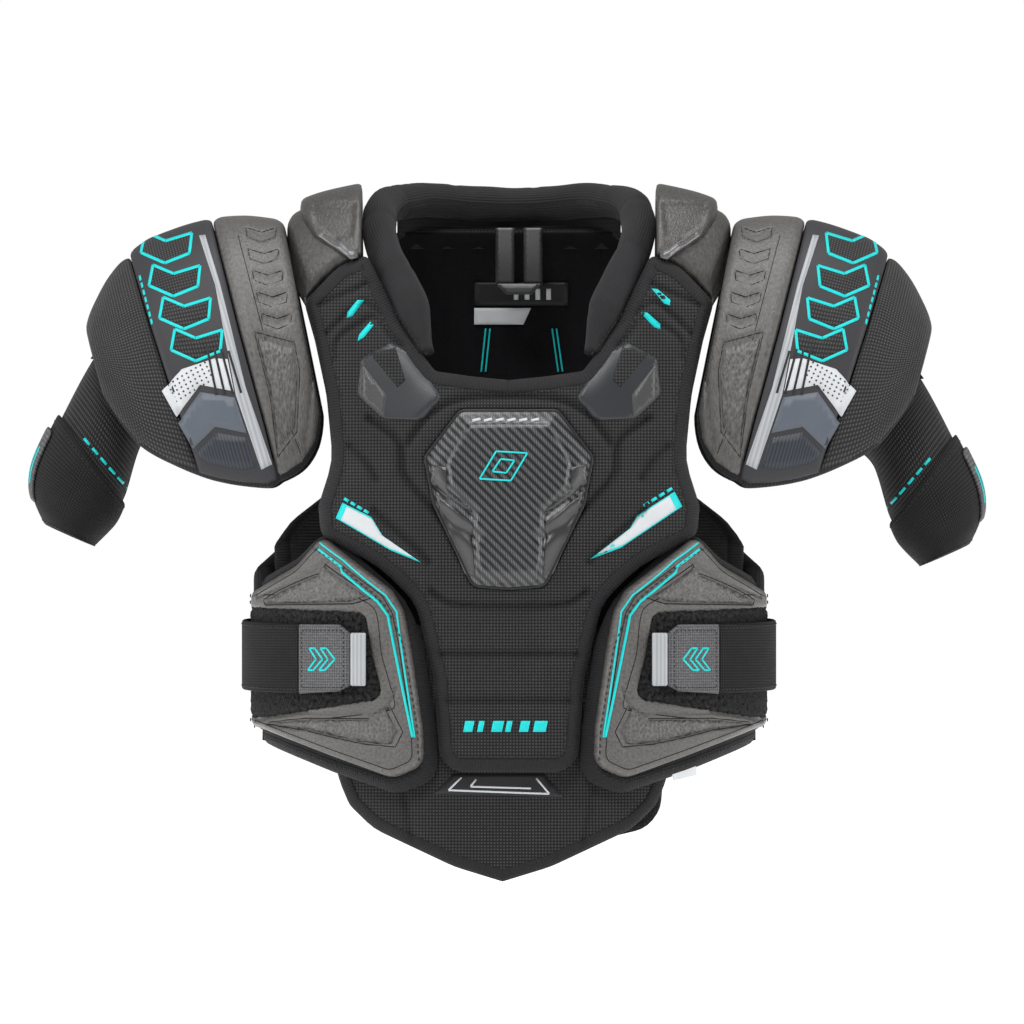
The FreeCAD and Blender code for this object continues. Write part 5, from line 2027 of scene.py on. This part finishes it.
def arm_link(side, sign, shift, body):
    """The webbing from the cap's lining to the guard."""
    points = np.array([BICEP_LINK[0]] + [tuple(np.array(p) + shift) for p in BICEP_LINK[1:]])
    run = np.concatenate([[0], np.cumsum(np.hypot(*np.diff(points, axis=0).T))])

    def ribbon(p, out):
        x = np.interp(p[:, 1], run, points[:, 0])
        z = np.interp(p[:, 1], run, points[:, 1])
        return np.column_stack([x + out, p[:, 0], z])

    outline = rounded([(-16.5, 0.5, 1), (16.5, 0.5, 1), (16.5, run[-1] - 0.5, 1), (-16.5, run[-1] - 0.5, 1)])
    web = shell("bicep_link_" + side, ribbon, outline, level(0.9), level(-0.9), ELASTIC, sign, spacing=3)
    place(web, body, "elastic_webbing", ["bicep_link_" + side])


# ---- studio ------------------------------------------------------------------------------------------

VIEW_WIDTH = 0.5632
VIEW_CENTRE = (0.00165, -0.1441)
VIEW_DISTANCE = 9.0
FLOOR_Z = -0.40


def camera():
    data = bpy.data.cameras.new("camera")
    data.sensor_width = 36
    data.lens = 36 * VIEW_DISTANCE / VIEW_WIDTH
    data.clip_end = 50
    made = bpy.data.objects.new("camera", data)
    bpy.context.scene.collection.objects.link(made)
    made.location = (VIEW_CENTRE[0], -0.03 - VIEW_DISTANCE, VIEW_CENTRE[1])
    made.rotation_euler = (math.radians(90), 0, 0)
    bpy.context.scene.camera = made


def lamp(name, place_at, target, size, power):
    data = bpy.data.lights.new(name, "AREA")
    data.shape = "RECTANGLE"
    data.size, data.size_y = size
    data.energy = power
    made = bpy.data.objects.new(name, data)
    bpy.context.scene.collection.objects.link(made)
    made.location = place_at
    made.rotation_euler = (Vector(target) - Vector(place_at)).to_track_quat("-Z", "Y").to_euler()


def studio():
    """A pale floor, a white room that lights softly, and soft lamps."""
    reach = 14.0
    mesh = bpy.data.meshes.new("floor")
    mesh.from_pydata(
        [
            (-reach, -reach, FLOOR_Z), (reach, -reach, FLOOR_Z), (reach, reach, FLOOR_Z),
            (-reach, reach, FLOOR_Z),
        ],
        [], [(0, 1, 2, 3)],
    )
    paint = bpy.data.materials.new("floor")
    paint.use_nodes = True
    paint.node_tree.nodes["Principled BSDF"].inputs["Base Color"].default_value = (0.9, 0.9, 0.9, 1)
    paint.node_tree.nodes["Principled BSDF"].inputs["Roughness"].default_value = 0.9
    paint.node_tree.nodes["Principled BSDF"].inputs["Emission Color"].default_value = (1, 1, 1, 1)
    paint.node_tree.nodes["Principled BSDF"].inputs["Emission Strength"].default_value = 0.75
    mesh.materials.append(paint)
    floor = bpy.data.objects.new("floor", mesh)
    bpy.context.scene.collection.objects.link(floor)
    world = bpy.data.worlds.new("room")
    world.use_nodes = True
    tree = world.node_tree
    seen = add(tree, "ShaderNodeLightPath").outputs["Is Camera Ray"]
    strength = add(tree, "ShaderNodeMapRange", {"To Min": 0.42, "To Max": 1.0})
    tree.links.new(seen, strength.inputs["Value"])
    tree.nodes["Background"].inputs[0].default_value = (1, 1, 1, 1)
    tree.links.new(strength.outputs["Result"], tree.nodes["Background"].inputs[1])
    bpy.context.scene.world = world
    centre = (0, 0, -0.14)
    lamp("key", (-0.5, -1.9, 1.9), centre, (0.9, 0.6), 60)
    lamp("top", (0.1, -0.3, 2.0), centre, (1.6, 0.8), 45)
    lamp("left_edge", (-2.0, -0.5, 0.4), centre, (0.5, 1.6), 30)
    lamp("right_edge", (2.0, -0.5, 0.4), centre, (0.5, 1.6), 30)
    bpy.context.scene.view_settings.view_transform = "Standard"


def main():
    camera()
    studio()
    for make in (chest, sternum, chest_marks, tongue_mark, rib_guards, size_tag, straps, extension, liners):
        make()
    for make in (back, back_lining, inner_ribbon, shoulders, collar, collar_facing, caps, arm_guards):
        make()


main()
